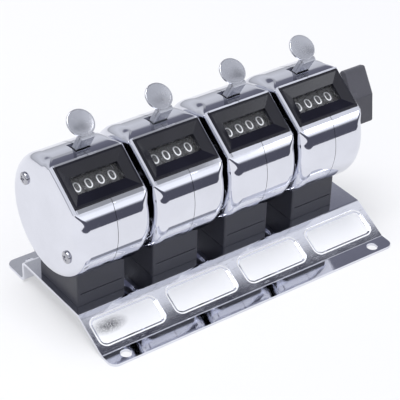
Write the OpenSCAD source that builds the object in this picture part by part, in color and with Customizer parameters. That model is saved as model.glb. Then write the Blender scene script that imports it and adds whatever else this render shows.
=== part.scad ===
// Bank of four bench tally counters on one bent sheet base, with one reset knob.
// The origin is the centre of the four mounting holes, on the table plane.
// X runs along the row, Y from front to back, Z up. Lengths are in millimetres.

/* [Row] */
// gap between neighbouring cases
row_gap = 1.9; // [1.6:0.1:2.2]
// middle of the row, measured from the middle of the plate
row_shift = -4.15; // [-5:0.05:-3]
// case axis, from front to back
axis_y = 2.7; // [2:0.1:3.4]
// height of the blocks under the lowest line of the cases
block_h = 9.6; // [9.2:0.1:10]

/* [Case] */
// case radius
case_r = 22.5; // [22.3:0.1:22.8]
// half of the case width
case_half = 14.7; // [14.5:0.05:14.8]
// rounding of the case rims
rim_fillet = 4.3; // [4:0.1:4.6]
// sheet thickness of the case
case_wall = 1.2; // [1.1:0.05:1.3]
// seam between the two case halves, from the centre line
seam_x = 0.3; // [0.1:0.05:0.5]
// tilt of the window face
face_tilt = 35; // [33:0.5:37]
// drop of the hood top below the case radius
hood_sink = 1.7; // [1.6:0.05:1.9]
// chrome strip below the bezel, along the window face
strip_low = 1.65; // [1.4:0.05:1.8]
// chrome strip above the bezel, along the window face
strip_high = 0.75; // [0.6:0.05:0.9]
// rounding of the long hood edges
hood_round = 2.2; // [2:0.1:2.3]
// hole for the reset shaft in the case ends
case_shaft_hole_r = 2.6; // [2.4:0.05:2.8]

/* [Bezel and lens] */
// bezel height, as a share of the case radius
bezel_share = 0.72; // [0.7:0.005:0.73]
// bezel centre along the window face
bezel_s = 0.85; // [0.7:0.05:1]
// bezel face over the hood top
bezel_proud = 0.4; // [0.3:0.05:0.6]
// bezel depth
bezel_depth = 3.6; // [3.4:0.05:3.7]
// bezel corner rounding
bezel_corner = 0.6; // [0.4:0.1:0.9]
// flat rim round the sloping walls
bezel_rim = 0.9; // [0.7:0.1:1.2]
// bezel width beside the window, each side
window_side = 3.95; // [3.7:0.05:4.4]
// window height
window_h = 6.5; // [6.2:0.1:6.8]
// window centre across
window_x = 0.2; // [0:0.05:0.3]
// window centre along the window face
window_s = 1.1; // [0.9:0.05:1.3]
// depth of the sloping walls
funnel_d = 1.8; // [1.6:0.05:2]
// lens thickness
lens_t = 1.0; // [0.9:0.05:1.1]
// ledge that the lens rests on, each side
lens_ledge = 0.75; // [0.6:0.05:0.9]
// lug that keeps the bezel in, length past the bezel
lug_len = 0.7; // [0.5:0.05:0.75]
// lug width
lug_w = 12; // [10:0.5:13]
// lug height
lug_h = 0.9; // [0.8:0.05:1]

/* [Wheels] */
// reset shaft axis along the window face
shaft_s = 0.6; // [0.4:0.05:0.8]
// gap between the figure wheels and the back of the bezel
lens_gap = 1.55; // [1.4:0.05:1.7]
// reset shaft radius
shaft_r = 2.0; // [1.9:0.05:2.1]
// groove along the reset shaft, width
shaft_groove_w = 0.9; // [0.7:0.05:1]
// groove along the reset shaft, depth
shaft_groove_d = 0.6; // [0.5:0.05:0.7]
// gap between the shaft end and the closed case end
end_clear = 0.3; // [0.3:0.05:0.5]
// figure wheel radius, as a share of the case radius
wheel_share = 0.418; // [0.412:0.002:0.42]
// room beside the wheel set, on both sides together
stack_side = 5.5; // [5.5:0.05:5.7]
// width of the toothed ring on each wheel
ring_w = 1.3; // [1.1:0.05:1.4]
// thickness of the wheel rim
rim_t = 1.8; // [1.6:0.05:2]
// wheel web thickness
web_t = 1.2; // [1:0.05:1.4]
// wheel hub radius
hub_r = 3.4; // [3.2:0.05:3.6]
// height of the teeth on the ring
tooth_h = 1.4; // [1.2:0.05:1.5]
// width of a ring tooth
tooth_w = 1.3; // [1.1:0.05:1.4]
// number of ring teeth
ring_teeth = 20; // [20]
// tip radius of the ratchet on the units wheel
ratchet_r = 6.5; // [6.2:0.05:6.6]
// root radius of the ratchet
ratchet_root_r = 5.2; // [5:0.05:5.4]
// ratchet width
ratchet_w = 0.9; // [0.8:0.05:0.95]
// ratchet teeth
ratchet_teeth = 10; // [10]

/* [Pinions] */
// gap between pinion tips and wheel
tip_gap = 0.35; // [0.3:0.01:0.45]
// direction of the pinion pin, below the level
pinion_drop = 20.6; // [19:0.1:22]
// pinion tip radius
pinion_r = 3.55; // [3.4:0.05:3.55]
// pinion root radius
pinion_root_r = 2.3; // [2.2:0.05:2.4]
// pinion tooth width
pinion_tooth_w = 1.0; // [0.9:0.05:1.1]
// length of the pinion teeth
pinion_face = 2.4; // [2.2:0.1:2.6]
// pinion hub radius
pinion_hub_r = 1.9; // [1.8:0.05:2]
// pinion teeth
pinion_teeth = 8; // [8]
// pinion pin radius
pinion_pin_r = 1.0; // [0.9:0.05:1.1]

/* [Frame] */
// gap between the frame plates and the case ends
plate_side = 0.6; // [0.55:0.05:0.65]
// frame plate thickness
plate_t = 1.0; // [0.95:0.05:1.05]
// gap between the frame plates and the case wall
plate_gap = 2.1; // [2:0.1:2.3]
// gap between the frame plates and the bezel
plate_drop = 0.5; // [0.4:0.05:0.7]
// pivot pin radius
pivot_r = 1.5; // [1.4:0.05:1.6]
// post radius
post_r = 2.5; // [2.4:0.05:2.6]
// bore of the posts
post_bore_r = 1.6; // [1.5:0.05:1.7]
// height of the bottom bar from the case wall
bar_h = 4.0; // [3.8:0.1:4.2]
// half of the depth of the bottom bar
bar_half = 8.5; // [8:0.1:9]
// gap between the bottom bar and the case
bar_gap = 0.3; // [0.25:0.05:0.35]
// gap between the bar's full part and the case rim
bar_short = 0.2; // [0.15:0.05:0.4]

/* [Lever] */
// lever centre, from the counter's centre line
lever_x = 0.8; // [0.7:0.05:0.9]
// distance of the pivot from the case axis, as a share of the case radius
pivot_share = 0.702; // [0.699:0.001:0.704]
// direction of the pivot from the case axis
pivot_turn = 169; // [168.5:0.1:169.5]
// front face of the neck at the case top, back from the axis
neck_y = -0.45; // [-0.5:0.05:-0.4]
// forward lean of the neck
neck_lean = 30; // [29:0.5:31]
// neck width
neck_w = 5.4; // [5.2:0.05:5.5]
// neck length over the case
neck_len = 7.3; // [7.2:0.05:7.4]
// sheet thickness of the lever
lever_t = 1.0; // [0.9:0.05:1.1]
// side flange thickness
flange_t = 0.8; // [0.7:0.05:0.9]
// side flange depth
flange_d = 2.6; // [2.4:0.05:2.7]
// top end of the side flanges along the neck
flange_top = 6.2; // [6:0.1:6.4]
// lower end of the side flanges along the neck
flange_low = 1.6; // [1.4:0.1:1.8]
// upper edge of the bridge, down along the neck
bridge_top = 3.0; // [2.9:0.05:3.2]
// lower edge of the bridge, down along the neck
bridge_low = 6.0; // [5.8:0.05:6.2]
// gap between the lever arms and the frame plates
arm_gap = 0.5; // [0.45:0.05:0.55]
// arm width
arm_w = 3.2; // [3:0.1:3.4]
// elbow of the arm along the window face
elbow_s = -0.5; // [-0.7:0.1:-0.3]
// gap between the arm and the back of the bezel
arm_drop = 1.0; // [0.9:0.05:1.2]
// radius of the pivot eye
eye_r = 2.8; // [2.7:0.05:2.9]
// thickness of the ratchet finger
finger_t = 0.6; // [0.5:0.05:0.65]
// width of the ratchet finger
finger_w = 1.6; // [1.4:0.1:1.8]
// length of the ratchet finger below the bridge
finger_len = 2.6; // [2.4:0.1:2.8]
// thumb pad radius
pad_r = 5.0; // [4.8:0.1:5.2]
// thumb pad centre, back from the case axis
pad_y = 0.45; // [0.35:0.05:0.55]
// height of the thumb pad centre over the case
pad_lift = 9.9; // [9.8:0.05:10]
// rise of the thumb pad towards the back
pad_rise = 37.4; // [36:0.2:39]
// depth of the dish in the thumb pad
dish_d = 0.35; // [0.3:0.05:0.4]
// rim left round the dish
dish_rim = 0.7; // [0.6:0.05:0.9]
// distance from the pad centre to the fold
fold_s = 5.8; // [5.7:0.05:5.9]
// lever slot width
slot_w = 6.0; // [5.9:0.05:6.1]
// front edge of the lever slot, back from the axis
slot_front = -0.85; // [-0.9:0.05:-0.8]
// back edge of the lever slot
slot_back = 5.1; // [5:0.1:5.4]

/* [Lever spring] */
// coil outer radius
coil_r = 2.6; // [2.4:0.05:2.65]
// coil wall, one wire thick
wire_d = 0.6; // [0.5:0.05:0.65]
// coil length
coil_len = 5.0; // [4:0.1:6]
// length of the leg along the lever arm
leg_up = 8.0; // [7:0.1:8.5]
// gap between the lower leg and the front post
leg_gap = 0.95; // [0.8:0.05:1.1]
// distance from the spring leg and the finger to the wheel set
leg_off = 0.6; // [0.55:0.01:0.65]

/* [Case screws] */
// distance of the rear case screw from the axis, as a share of the case radius
screw_a_share = 0.679; // [0.67:0.001:0.685]
// direction of the rear case screw
screw_a_turn = 39.4; // [38:0.2:41]
// distance of the front case screw from the axis, as a share of the case radius
screw_b_share = 0.714; // [0.71:0.001:0.716]
// direction of the front case screw
screw_b_turn = 207.4; // [206:0.2:208]
// case screw head radius
case_head_r = 2.3; // [2.1:0.05:2.3]
// case screw head height
case_head_h = 1.2; // [1:0.05:1.3]
// case screw shank radius
case_shank_r = 1.25; // [1.2:0.05:1.3]
// depth of the case screw's end in the right case wall
case_screw_bite = 0.7; // [0.6:0.05:0.8]

/* [Stand] */
// gap between the block's side and the rounded case rim
block_side = 0.65; // [0.4:0.05:0.9]
// block depth from front to back
block_d = 24.6; // [24:0.1:25]
// flat left on the block's upper edges
block_land = 0.26; // [0.2:0.02:0.4]
// height of the parting line over the table
parting_z = 13.8; // [13:0.1:14.5]
// gap between the parting line and the block's side
parting_side = 1.25; // [1:0.05:1.5]
// height of the parting line groove
parting_h = 0.4; // [0.3:0.05:0.5]
// depth of the parting line groove
parting_d = 0.3; // [0.25:0.05:0.35]
// place of the stand screws, as a share of the block width
stand_screw_share = 0.282; // [0.26:0.002:0.3]
// stand screw shank radius
stand_shank_r = 1.45; // [1.4:0.05:1.5]
// stand screw head radius
stand_head_r = 2.75; // [2.6:0.05:2.9]
// stand screw head height
stand_head_h = 2.0; // [1.8:0.05:2.1]
// gap between the stand screw's end and the top of the bar
screw_short = 0.6; // [0.5:0.05:0.8]
// width of the screw recesses
recess_w = 0.6; // [0.5:0.05:0.7]
// depth of the screw recesses
recess_d = 0.6; // [0.5:0.05:0.7]

/* [Base plate] */
// plate length beyond the row's pitch
plate_spare = 0.8; // [0.5:0.1:1.5]
// sheet thickness
sheet_t = 1.0; // [0.9:0.05:1.1]
// front edge
front_y = -34.7; // [-35:0.05:-34.5]
// foot of the slope
foot_y = -28.2; // [-28.4:0.05:-28]
// upper bend of the slope
crest_y = -13.15; // [-13.3:0.05:-13]
// deck height
deck_z = 8.9; // [8.8:0.05:9]
// outer face of the rear step
rear_y = 24.2; // [24:0.05:24.4]
// rear edge
back_y = 36.1; // [36:0.05:36.4]
// inner radius of the folds
fold_r = 1.0; // [0.8:0.05:1.2]
// corner rounding of the flanges
corner_r = 3.0; // [2.5:0.1:3.5]
// mounting holes, distance from the plate's ends
hole_side = 7.7; // [7.5:0.1:7.9]
// mounting holes, distance from front to back
hole_dy = 62.6; // [62.4:0.1:62.8]
// mounting hole radius
hole_r = 2.0; // [1.8:0.05:2.2]
// room between label pockets
pocket_gap = 5.5; // [5:0.1:6]
// label pocket width
pocket_w = 10.0; // [9.5:0.1:10.5]
// label pocket depth
pocket_depth = 0.45; // [0.35:0.05:0.5]
// label pocket corner rounding
pocket_corner = 2.2; // [2:0.1:2.5]
// extra pitch of the label pockets over the counters
pocket_step = 0.2; // [0:0.05:0.3]
// middle of the label pockets along the row
pocket_shift = -0.3; // [-0.5:0.05:0]
// pocket centre below the upper bend, along the slope
pocket_s = 8.7; // [8.6:0.05:8.8]

/* [Reset knob] */
// hub length
hub_l = 5.5; // [5.2:0.1:5.8]
// wing length along the row
wing_l = 10.0; // [9.5:0.1:10.5]
// half of the wing's long side
wing_half = 10.9; // [10.5:0.1:11.2]
// half of the wing's end width
wing_end = 1.5; // [1.4:0.05:1.7]
// half of the wing's thickness in the middle
wing_mid = 3.9; // [3.8:0.05:4]
// backward lean of the wing
wing_lean = 19.7; // [18:0.1:21]
// rounding of the wing's ends
wing_round = 0.8; // [0.7:0.05:1]
// hub radius
knob_hub_r = 4.2; // [4.1:0.05:4.5]
// gap between the hub and the last case
knob_gap = 0.8; // [0.7:0.05:1]
// depth of the wing past the bore
bore_cap = 2.0; // [1.8:0.1:2.4]
// set screw radius
set_r = 1.2; // [1.1:0.05:1.25]
// set screw, distance from the hub's inner end
set_x = 2.7; // [2.5:0.1:3]
// set screw sinking below the hub's surface
set_sink = 0.3; // [0.2:0.05:0.4]
// set screw socket radius
set_socket_r = 0.65; // [0.6:0.05:0.7]
// set screw socket depth
set_socket_d = 0.8; // [0.7:0.05:0.9]

/* [Shaft clips] */
// clip outer radius
clip_r = 3.0; // [2.9:0.05:3]
// clip thickness
clip_t = 0.6; // [0.55:0.05:0.6]
// radius of the shaft in the clip groove
clip_seat_r = 1.5; // [1.45:0.05:1.55]
// mouth of the clip
clip_mouth = 2.4; // [2.3:0.1:2.6]

/* [Fits] */
// radial clearance of running fits
run_gap = 0.05; // [0.03:0.01:0.07]
// clearance round seated pieces
seat_gap = 0.1; // [0.08:0.01:0.12]
// radial clearance of screw holes
screw_gap = 0.15; // [0.12:0.01:0.2]
// side gap between rotating pieces
side_gap = 0.3; // [0.3:0.01:0.32]
// overrun of every cut
over = 1.0; // [0.8:0.1:1.2]

/* [Hidden] */
$fn = 48;
half_share = 0.5;
counters = 4;
wheel_places = [1.5, 0.5, -0.5, -1.5];
row_mid = (counters - 1) * half_share;
counter_pitch = 2 * case_half + row_gap;
axis_z = deck_z + block_h + case_r;
slope_angle = atan2(deck_z - sheet_t, crest_y - foot_y);
slope_len = norm([deck_z - sheet_t, crest_y - foot_y]);
turn_share = tan(slope_angle * half_share);
fold_out = fold_r + sheet_t;
flat_len = foot_y - front_y - fold_r * turn_share;
slope_flat = slope_len - (fold_r + fold_out) * turn_share;
deck_flat = rear_y - crest_y - fold_out * turn_share - fold_out;
step_flat = deck_z - sheet_t - fold_out - fold_r;
back_flat = back_y - rear_y - fold_r;
plate_l = counters * counter_pitch + plate_spare;
hole_dx = plate_l - 2 * hole_side;
pocket_pitch = counter_pitch + pocket_step;
pocket_l = counter_pitch - pocket_gap;
fill_r = case_r - case_wall;
fill_half = case_half - case_wall;
fill_fillet = rim_fillet - case_wall;
hood_top = case_r - hood_sink;
hood_floor = hood_top - case_wall;
bezel_w = 2 * (fill_half - seat_gap);
bezel_h = case_r * bezel_share;
bezel_top = hood_top + bezel_proud;
bezel_back = bezel_top - bezel_depth;
hood_low = bezel_h * half_share - bezel_s + strip_low;
hood_high = bezel_h * half_share + bezel_s + strip_high;
window_w = bezel_w - 2 * window_side;
funnel_foot = bezel_top - funnel_d;
lens_w = window_w + 2 * lens_ledge;
lens_h = window_h + 2 * lens_ledge;
wheel_r = case_r * wheel_share;
wheel_pitch = (case_half - stack_side) * half_share;
wheel_w = wheel_pitch - side_gap;
stack_half = 2 * wheel_pitch - side_gap * half_share;
shaft_d = bezel_back - lens_gap - wheel_r;
shaft_y = face_y(shaft_d, shaft_s);
shaft_z = face_z(shaft_d, shaft_s);
pinion_dist = wheel_r + pinion_r + tip_gap;
pinion_y = shaft_y + pinion_dist * cos(pinion_drop);
pinion_z = shaft_z - pinion_dist * sin(pinion_drop);
plate_in = fill_half - plate_side - plate_t;
plate_r = fill_r - plate_gap;
plate_top = bezel_back - plate_drop;
bar_top = fill_r - bar_h;
bar_mid = case_half - rim_fillet - bar_short;
arm_out = plate_in - arm_gap;
pivot_y = case_r * pivot_share * cos(pivot_turn);
pivot_z = case_r * pivot_share * sin(pivot_turn);
elbow_d = bezel_back - arm_w * half_share - arm_drop;
elbow_y = face_y(elbow_d, elbow_s);
elbow_z = face_z(elbow_d, elbow_s);
neck_z = case_r;
pad_z = case_r + pad_lift;
screw_a = case_r * screw_a_share * [cos(screw_a_turn), sin(screw_a_turn)];
screw_b = case_r * screw_b_share * [cos(screw_b_turn), sin(screw_b_turn)];
leg_x = stack_half + leg_off;
leg_down = norm(screw_b - [pivot_y, pivot_z]) - post_r - leg_gap;
block_w = 2 * (case_half - rim_fillet - block_side);
block_top = sqrt(case_r * case_r - block_d * block_d * half_share * half_share) + block_land;
parting_w = block_w - 2 * parting_side;
stand_screw_x = block_w * stand_screw_share;
stand_screw_end = bar_top + screw_short;
last_x = counter_x(counters - 1);
first_x = counter_x(0);
hub_x = last_x + case_half + knob_gap;
wing_x = hub_x + hub_l;
shaft_left = first_x - fill_half + end_clear;
shaft_right = wing_x + wing_l - bore_cap - side_gap;
deck_drop = deck_z - axis_z;
neck_in = lever_t * half_share;
chrome_tint = [0.78, 0.80, 0.84];
black_tint = [0.07, 0.07, 0.08];
steel_tint = [0.62, 0.63, 0.66];
brass_tint = [0.72, 0.6, 0.34];

UNIT_NODES = ["case_left", "case_right", "bezel", "lens", "frame", "lever", "lever_spring",
    "wheel_units", "wheel_tens", "wheel_hundreds", "wheel_thousands", "pinions", "stand_block"];

function counter_x(i) = row_shift + (i - row_mid) * counter_pitch;
function face_y(d, s) = s * cos(face_tilt) - d * sin(face_tilt);
function face_z(d, s) = s * sin(face_tilt) + d * cos(face_tilt);

// Plain shapes used by several pieces

module across(w) {
    rotate([90, 0, 90])
        linear_extrude(w, center = true)
            children();
}

module round_rect(w, h, r) {
    square([w - 2 * r, h], center = true);
    square([w, h - 2 * r], center = true);
    for (sx = [-1, 1])
        for (sy = [-1, 1])
            translate([sx * (w * half_share - r), sy * (h * half_share - r)])
                circle(r);
}

module drum(r, half, fillet) {
    rotate([0, 90, 0])
        rotate_extrude()
            intersection() {
                round_rect(2 * r, 2 * half, fillet);
                translate([0, -half])
                    square([r, 2 * half]);
            }
}

module strip(a, b, w) {
    translate(a)
        rotate(atan2(b[1] - a[1], b[0] - a[0]))
            translate([0, -w * half_share])
                square([norm(b - a), w]);
}

module rod(r, w) {
    rotate([0, 90, 0])
        cylinder(r = r, h = w, center = true);
}

module face_plane() {
    rotate([face_tilt, 0, 0])
        children();
}

module over_face(d) {
    face_plane()
        translate([-case_half - over, -case_r, d])
            cube([2 * (case_half + over), 2 * case_r, case_r]);
}

module face_bar(half, top, low, high, r) {
    face_plane()
        translate([0, high, top * half_share])
            rotate([90, 0, 0])
                linear_extrude(low + high)
                    round_rect(2 * half, top, r);
}

module shaft_place() {
    translate([0, shaft_y, shaft_z])
        children();
}

module screw_places() {
    for (p = [screw_a, screw_b])
        translate([0, p[0], p[1]])
            children();
}

module stand_screw_places() {
    for (s = [-1, 1])
        translate([s * stand_screw_x, 0, 0])
            children();
}

module at_counter(i) {
    translate([counter_x(i), axis_y, axis_z])
        children();
}

module tooth_ring(n, root, tip, w) {
    circle(root);
    for (i = [0 : n - 1])
        rotate(i * 360 / n)
            translate([0, -w * half_share])
                square([tip, w]);
}

module cross_recess(r) {
    for (a = [0, 90])
        rotate(a)
            translate([-r * half_share, -recess_w * half_share, -recess_d])
                cube([r, recess_w, recess_d + over]);
}

// Counter case: two drawn halves that meet at a seam

module case_shell(end_holes) {
    difference() {
        union() {
            drum(case_r, case_half, rim_fillet);
            face_bar(case_half, hood_top, hood_low, hood_high, hood_round);
        }
        over_face(hood_top);
        difference() {
            union() {
                drum(fill_r, fill_half, fill_fillet);
                face_bar(fill_half, hood_floor, hood_low - case_wall, hood_high - case_wall, seat_gap);
            }
            over_face(hood_floor);
        }
        face_plane()
            translate([0, bezel_s, bezel_back - over])
                linear_extrude(bezel_top)
                    square([bezel_w + 2 * seat_gap, bezel_h + 2 * seat_gap], center = true);
        translate([lever_x - slot_w * half_share, slot_front, hood_floor - over])
            cube([slot_w, slot_back - slot_front, case_r]);
        stand_screw_places()
            translate([0, 0, -case_r - over])
                cylinder(r = stand_shank_r + screw_gap, h = case_r);
        if (end_holes)
            shaft_place()
                rod(case_shaft_hole_r, 2 * (case_half + over));
    }
}

module case_left(end_holes) {
    color(chrome_tint)
        difference() {
            case_shell(end_holes);
            translate([seam_x, -2 * case_r, -2 * case_r])
                cube(4 * case_r);
            screw_places()
                translate([-case_half, 0, 0])
                    rod(case_shank_r + screw_gap, 4 * case_wall);
        }
}

module case_right() {
    color(chrome_tint)
        difference() {
            case_shell(true);
            translate([seam_x - 4 * case_r, -2 * case_r, -2 * case_r])
                cube(4 * case_r);
            screw_places()
                translate([fill_half, 0, 0])
                    rod(case_shank_r + run_gap, 2 * (case_screw_bite + run_gap));
        }
}

// Window bezel with sloping walls, and its clear lens

module bezel() {
    color(black_tint)
        face_plane()
            difference() {
                union() {
                    translate([0, bezel_s, bezel_back])
                        linear_extrude(bezel_top - bezel_back)
                            round_rect(bezel_w, bezel_h, bezel_corner);
                    translate([-lug_w * half_share, bezel_s - bezel_h * half_share - lug_len, bezel_back])
                        cube([lug_w, bezel_h + 2 * lug_len, lug_h]);
                }
                intersection() {
                    translate([0, case_r, 0])
                        rotate([90, 0, 0])
                            linear_extrude(2 * case_r)
                                funnel_side(window_x, window_w, 0, bezel_w);
                    across(2 * case_r)
                        funnel_side(window_s, window_h, bezel_s, bezel_h);
                }
                translate([window_x, window_s, 0])
                    linear_extrude(bezel_top)
                        square([window_w, window_h], center = true);
                translate([window_x, window_s, bezel_back + lens_t - case_r])
                    linear_extrude(case_r)
                        square([lens_w + 2 * seat_gap, lens_h + 2 * seat_gap], center = true);
            }
}

module funnel_side(mid, inner, outer_mid, outer) {
    wide = outer * half_share - bezel_rim;
    polygon([[mid - inner * half_share, funnel_foot], [mid + inner * half_share, funnel_foot],
        [outer_mid + wide, bezel_top], [outer_mid + wide, bezel_top + over],
        [outer_mid - wide, bezel_top + over], [outer_mid - wide, bezel_top]]);
}

module lens() {
    color([0.8, 0.85, 0.9, 0.4])
        face_plane()
            translate([window_x, window_s, bezel_back])
                linear_extrude(lens_t)
                    square([lens_w, lens_h], center = true);
}

// Inner frame: two plates, posts, pins and the bar that the stand screws bite into

module frame() {
    color(steel_tint)
        difference() {
            union() {
                for (s = [-1, 1])
                    translate([s * (plate_in + plate_t * half_share), 0, 0])
                        rod(plate_r, plate_t);
                screw_places()
                    rod(post_r, 2 * plate_in + plate_t);
                translate([0, pivot_y, pivot_z])
                    rod(pivot_r, 2 * plate_in + plate_t);
                translate([0, pinion_y, pinion_z])
                    rod(pinion_pin_r, 2 * plate_in + plate_t);
                bottom_bar();
            }
            over_face(plate_top);
            screw_places()
                rod(post_bore_r, 2 * (plate_in + plate_t + over));
            shaft_place()
                rod(shaft_r + run_gap, 2 * (plate_in + plate_t + over));
            stand_screw_places()
                translate([0, 0, -case_r])
                    cylinder(r = stand_shank_r + run_gap, h = case_r - bar_top + over);
        }
}

module bottom_bar() {
    difference() {
        union() {
            rod(fill_r - bar_gap, 2 * bar_mid);
            rod(plate_r, 2 * plate_in + plate_t);
        }
        translate([-case_half, -case_r, -bar_top])
            cube([2 * case_half, 2 * case_r, 2 * case_r]);
        for (s = [-1, 1])
            translate([-case_half, s * (bar_half + case_r) - case_r, -case_r])
                cube([2 * case_half, 2 * case_r, case_r]);
    }
}

// Thumb lever: neck, pad, bridge and two arms on the pivot pin

module neck_place() {
    translate([0, neck_y, neck_z])
        rotate([neck_lean, 0, 0])
            children();
}

module lever() {
    bridge_mid = (bridge_top + bridge_low) * half_share;
    arm_y = neck_y + neck_in * cos(neck_lean) + bridge_mid * sin(neck_lean);
    arm_z = neck_z + neck_in * sin(neck_lean) - bridge_mid * cos(neck_lean);
    color(chrome_tint)
        difference() {
            union() {
                neck_place() {
                    translate([lever_x - neck_w * half_share, 0, -bridge_low])
                        cube([neck_w, lever_t, bridge_low + neck_len]);
                    for (s = [0, 1])
                        translate([lever_x - neck_w * half_share + s * (neck_w - flange_t), 0, -flange_low])
                            cube([flange_t, flange_d, flange_low + flange_top]);
                    translate([-arm_out, 0, -bridge_low])
                        cube([2 * arm_out, lever_t, bridge_low - bridge_top]);
                    translate([leg_x - finger_t * half_share, 0, -bridge_low - finger_len])
                        cube([finger_t, finger_w, finger_len + lever_t]);
                }
                for (s = [-1, 1])
                    translate([s * (arm_out - lever_t * half_share), 0, 0])
                        across(lever_t) {
                            strip([arm_y, arm_z], [elbow_y, elbow_z], arm_w);
                            strip([elbow_y, elbow_z], [pivot_y, pivot_z], arm_w);
                            translate([elbow_y, elbow_z])
                                circle(arm_w * half_share);
                            translate([arm_y, arm_z])
                                circle(arm_w * half_share);
                            translate([pivot_y, pivot_z])
                                circle(eye_r);
                        }
                translate([lever_x, pad_y, pad_z])
                    rotate([pad_rise, 0, 0])
                        pad();
            }
            translate([0, pivot_y, pivot_z])
                rod(pivot_r + run_gap, 2 * (arm_out + over));
        }
}

module pad() {
    dish_r = pad_r - dish_rim;
    ball_r = (dish_r * dish_r + dish_d * dish_d) / (2 * dish_d);
    translate([-neck_w * half_share, -fold_s, -lever_t])
        cube([neck_w, fold_s, lever_t]);
    difference() {
        translate([0, 0, -lever_t])
            cylinder(r = pad_r, h = lever_t);
        translate([0, 0, ball_r - dish_d])
            sphere(ball_r);
    }
}

// Spring round the pivot pin that brings the lever back

module lever_spring() {
    coil_mid = coil_len * half_share - leg_x;
    color(steel_tint) {
        translate([coil_mid, pivot_y, pivot_z])
            difference() {
                rod(coil_r, coil_len);
                rod(coil_r - wire_d, coil_len + over);
            }
        leg(-leg_x + wire_d * half_share, [elbow_y, elbow_z], leg_up);
        leg(-leg_x + coil_len - wire_d * half_share, screw_b, leg_down);
    }
}

module leg(x, aim, reach) {
    lift = atan2(aim[1] - pivot_z, aim[0] - pivot_y);
    start = coil_r - wire_d * half_share;
    translate([x, pivot_y, pivot_z])
        rotate([lift - 90, 0, 0])
            translate([0, 0, start])
                cylinder(r = wire_d * half_share, h = reach - start);
}

// Figure wheels and the carry pinions between them

module wheel(place) {
    ring_root = wheel_r - tooth_h;
    rim_w = wheel_w - ring_w;
    shaft_place()
        translate([wheel_places[place] * wheel_pitch - wheel_w * half_share, 0, 0])
            rotate([90, 0, 90])
                difference() {
                    union() {
                        translate([0, 0, ring_w])
                            difference() {
                                cylinder(r = wheel_r, h = rim_w);
                                translate([0, 0, -over])
                                    cylinder(r = wheel_r - rim_t, h = wheel_w);
                            }
                        linear_extrude(ring_w)
                            difference() {
                                tooth_ring(ring_teeth, ring_root, wheel_r, tooth_w);
                                circle(ring_root - tooth_h);
                            }
                        translate([0, 0, ring_w - web_t * half_share])
                            cylinder(r = ring_root - tooth_h * half_share, h = web_t);
                        cylinder(r = hub_r, h = wheel_w);
                        if (place == 0)
                            translate([0, 0, wheel_w])
                                ratchet();
                    }
                    translate([0, 0, -over])
                        cylinder(r = shaft_r + run_gap, h = wheel_w + ratchet_w + 2 * over);
                }
}

module ratchet() {
    turn = 360 / ratchet_teeth;
    foot = ratchet_root_r * cos(turn);
    translate([0, 0, -ring_w])
        linear_extrude(ratchet_w + ring_w) {
            circle(ratchet_root_r);
            for (i = [0 : ratchet_teeth - 1])
                rotate(i * turn)
                    polygon([[0, 0], [ratchet_r, 0], [foot * cos(turn), foot * sin(turn)]]);
        }
}

module wheel_units() {
    color(black_tint)
        wheel(0);
}

module wheel_tens() {
    color(black_tint)
        wheel(1);
}

module wheel_hundreds() {
    color(black_tint)
        wheel(2);
}

module wheel_thousands() {
    color(black_tint)
        wheel(3);
}

module pinions() {
    color(brass_tint)
        translate([0, pinion_y, pinion_z])
            for (i = [-1 : 1])
                translate([i * wheel_pitch - wheel_w * half_share, 0, 0])
                    rotate([90, 0, 90])
                        difference() {
                            union() {
                                cylinder(r = pinion_hub_r, h = wheel_w);
                                translate([0, 0, (wheel_w - pinion_face) * half_share])
                                    linear_extrude(pinion_face)
                                        tooth_ring(pinion_teeth, pinion_root_r, pinion_r, pinion_tooth_w);
                            }
                            translate([0, 0, -over])
                                cylinder(r = pinion_pin_r + run_gap, h = wheel_w + 2 * over);
                        }
}

// Block under each counter

module stand_block() {
    color(black_tint)
        difference() {
            translate([-block_w * half_share, -block_d * half_share, deck_drop])
                cube([block_w, block_d, -deck_drop - block_top]);
            rod(case_r, block_w + 2 * over);
            translate([-parting_w * half_share, -block_d * half_share - over, parting_z - axis_z])
                cube([parting_w, over + parting_d, parting_h]);
            stand_screw_places()
                translate([0, 0, deck_drop - over])
                    cylinder(r = stand_shank_r + screw_gap, h = case_r);
        }
}

// Fasteners

module case_screw() {
    difference() {
        union() {
            translate([-case_half - case_head_h * half_share, 0, 0])
                rod(case_head_r, case_head_h);
            rotate([0, 90, 0])
                translate([0, 0, -case_half])
                    cylinder(r = case_shank_r, h = case_half + fill_half + case_screw_bite);
        }
        translate([-case_half - case_head_h, 0, 0])
            rotate([0, -90, 0])
                cross_recess(2 * case_head_r - 2 * recess_w);
    }
}

module case_screws() {
    color(chrome_tint)
        for (i = [0 : counters - 1])
            at_counter(i)
                screw_places()
                    case_screw();
}

module stand_screw() {
    under = deck_drop - sheet_t;
    difference() {
        union() {
            translate([0, 0, under - stand_head_h])
                cylinder(r = stand_head_r, h = stand_head_h);
            translate([0, 0, under - stand_head_h * half_share])
                cylinder(r = stand_shank_r, h = stand_head_h * half_share - under - stand_screw_end);
        }
        translate([0, 0, under - stand_head_h])
            rotate([180, 0, 0])
                cross_recess(2 * stand_head_r - 2 * recess_w);
    }
}

module stand_screws() {
    color(steel_tint)
        for (i = [0 : counters - 1])
            at_counter(i)
                stand_screw_places()
                    stand_screw();
}

// Base plate: one bent sheet with label pockets and mounting holes

module bend(at, from, turn) {
    reach = 3 * fold_out;
    translate(at)
        intersection() {
            difference() {
                circle(fold_out);
                circle(fold_r);
            }
            polygon([[0, 0], reach * [cos(from), sin(from)],
                2 * reach * [cos(from + turn * half_share), sin(from + turn * half_share)],
                reach * [cos(from + turn), sin(from + turn)]]);
        }
}

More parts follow.
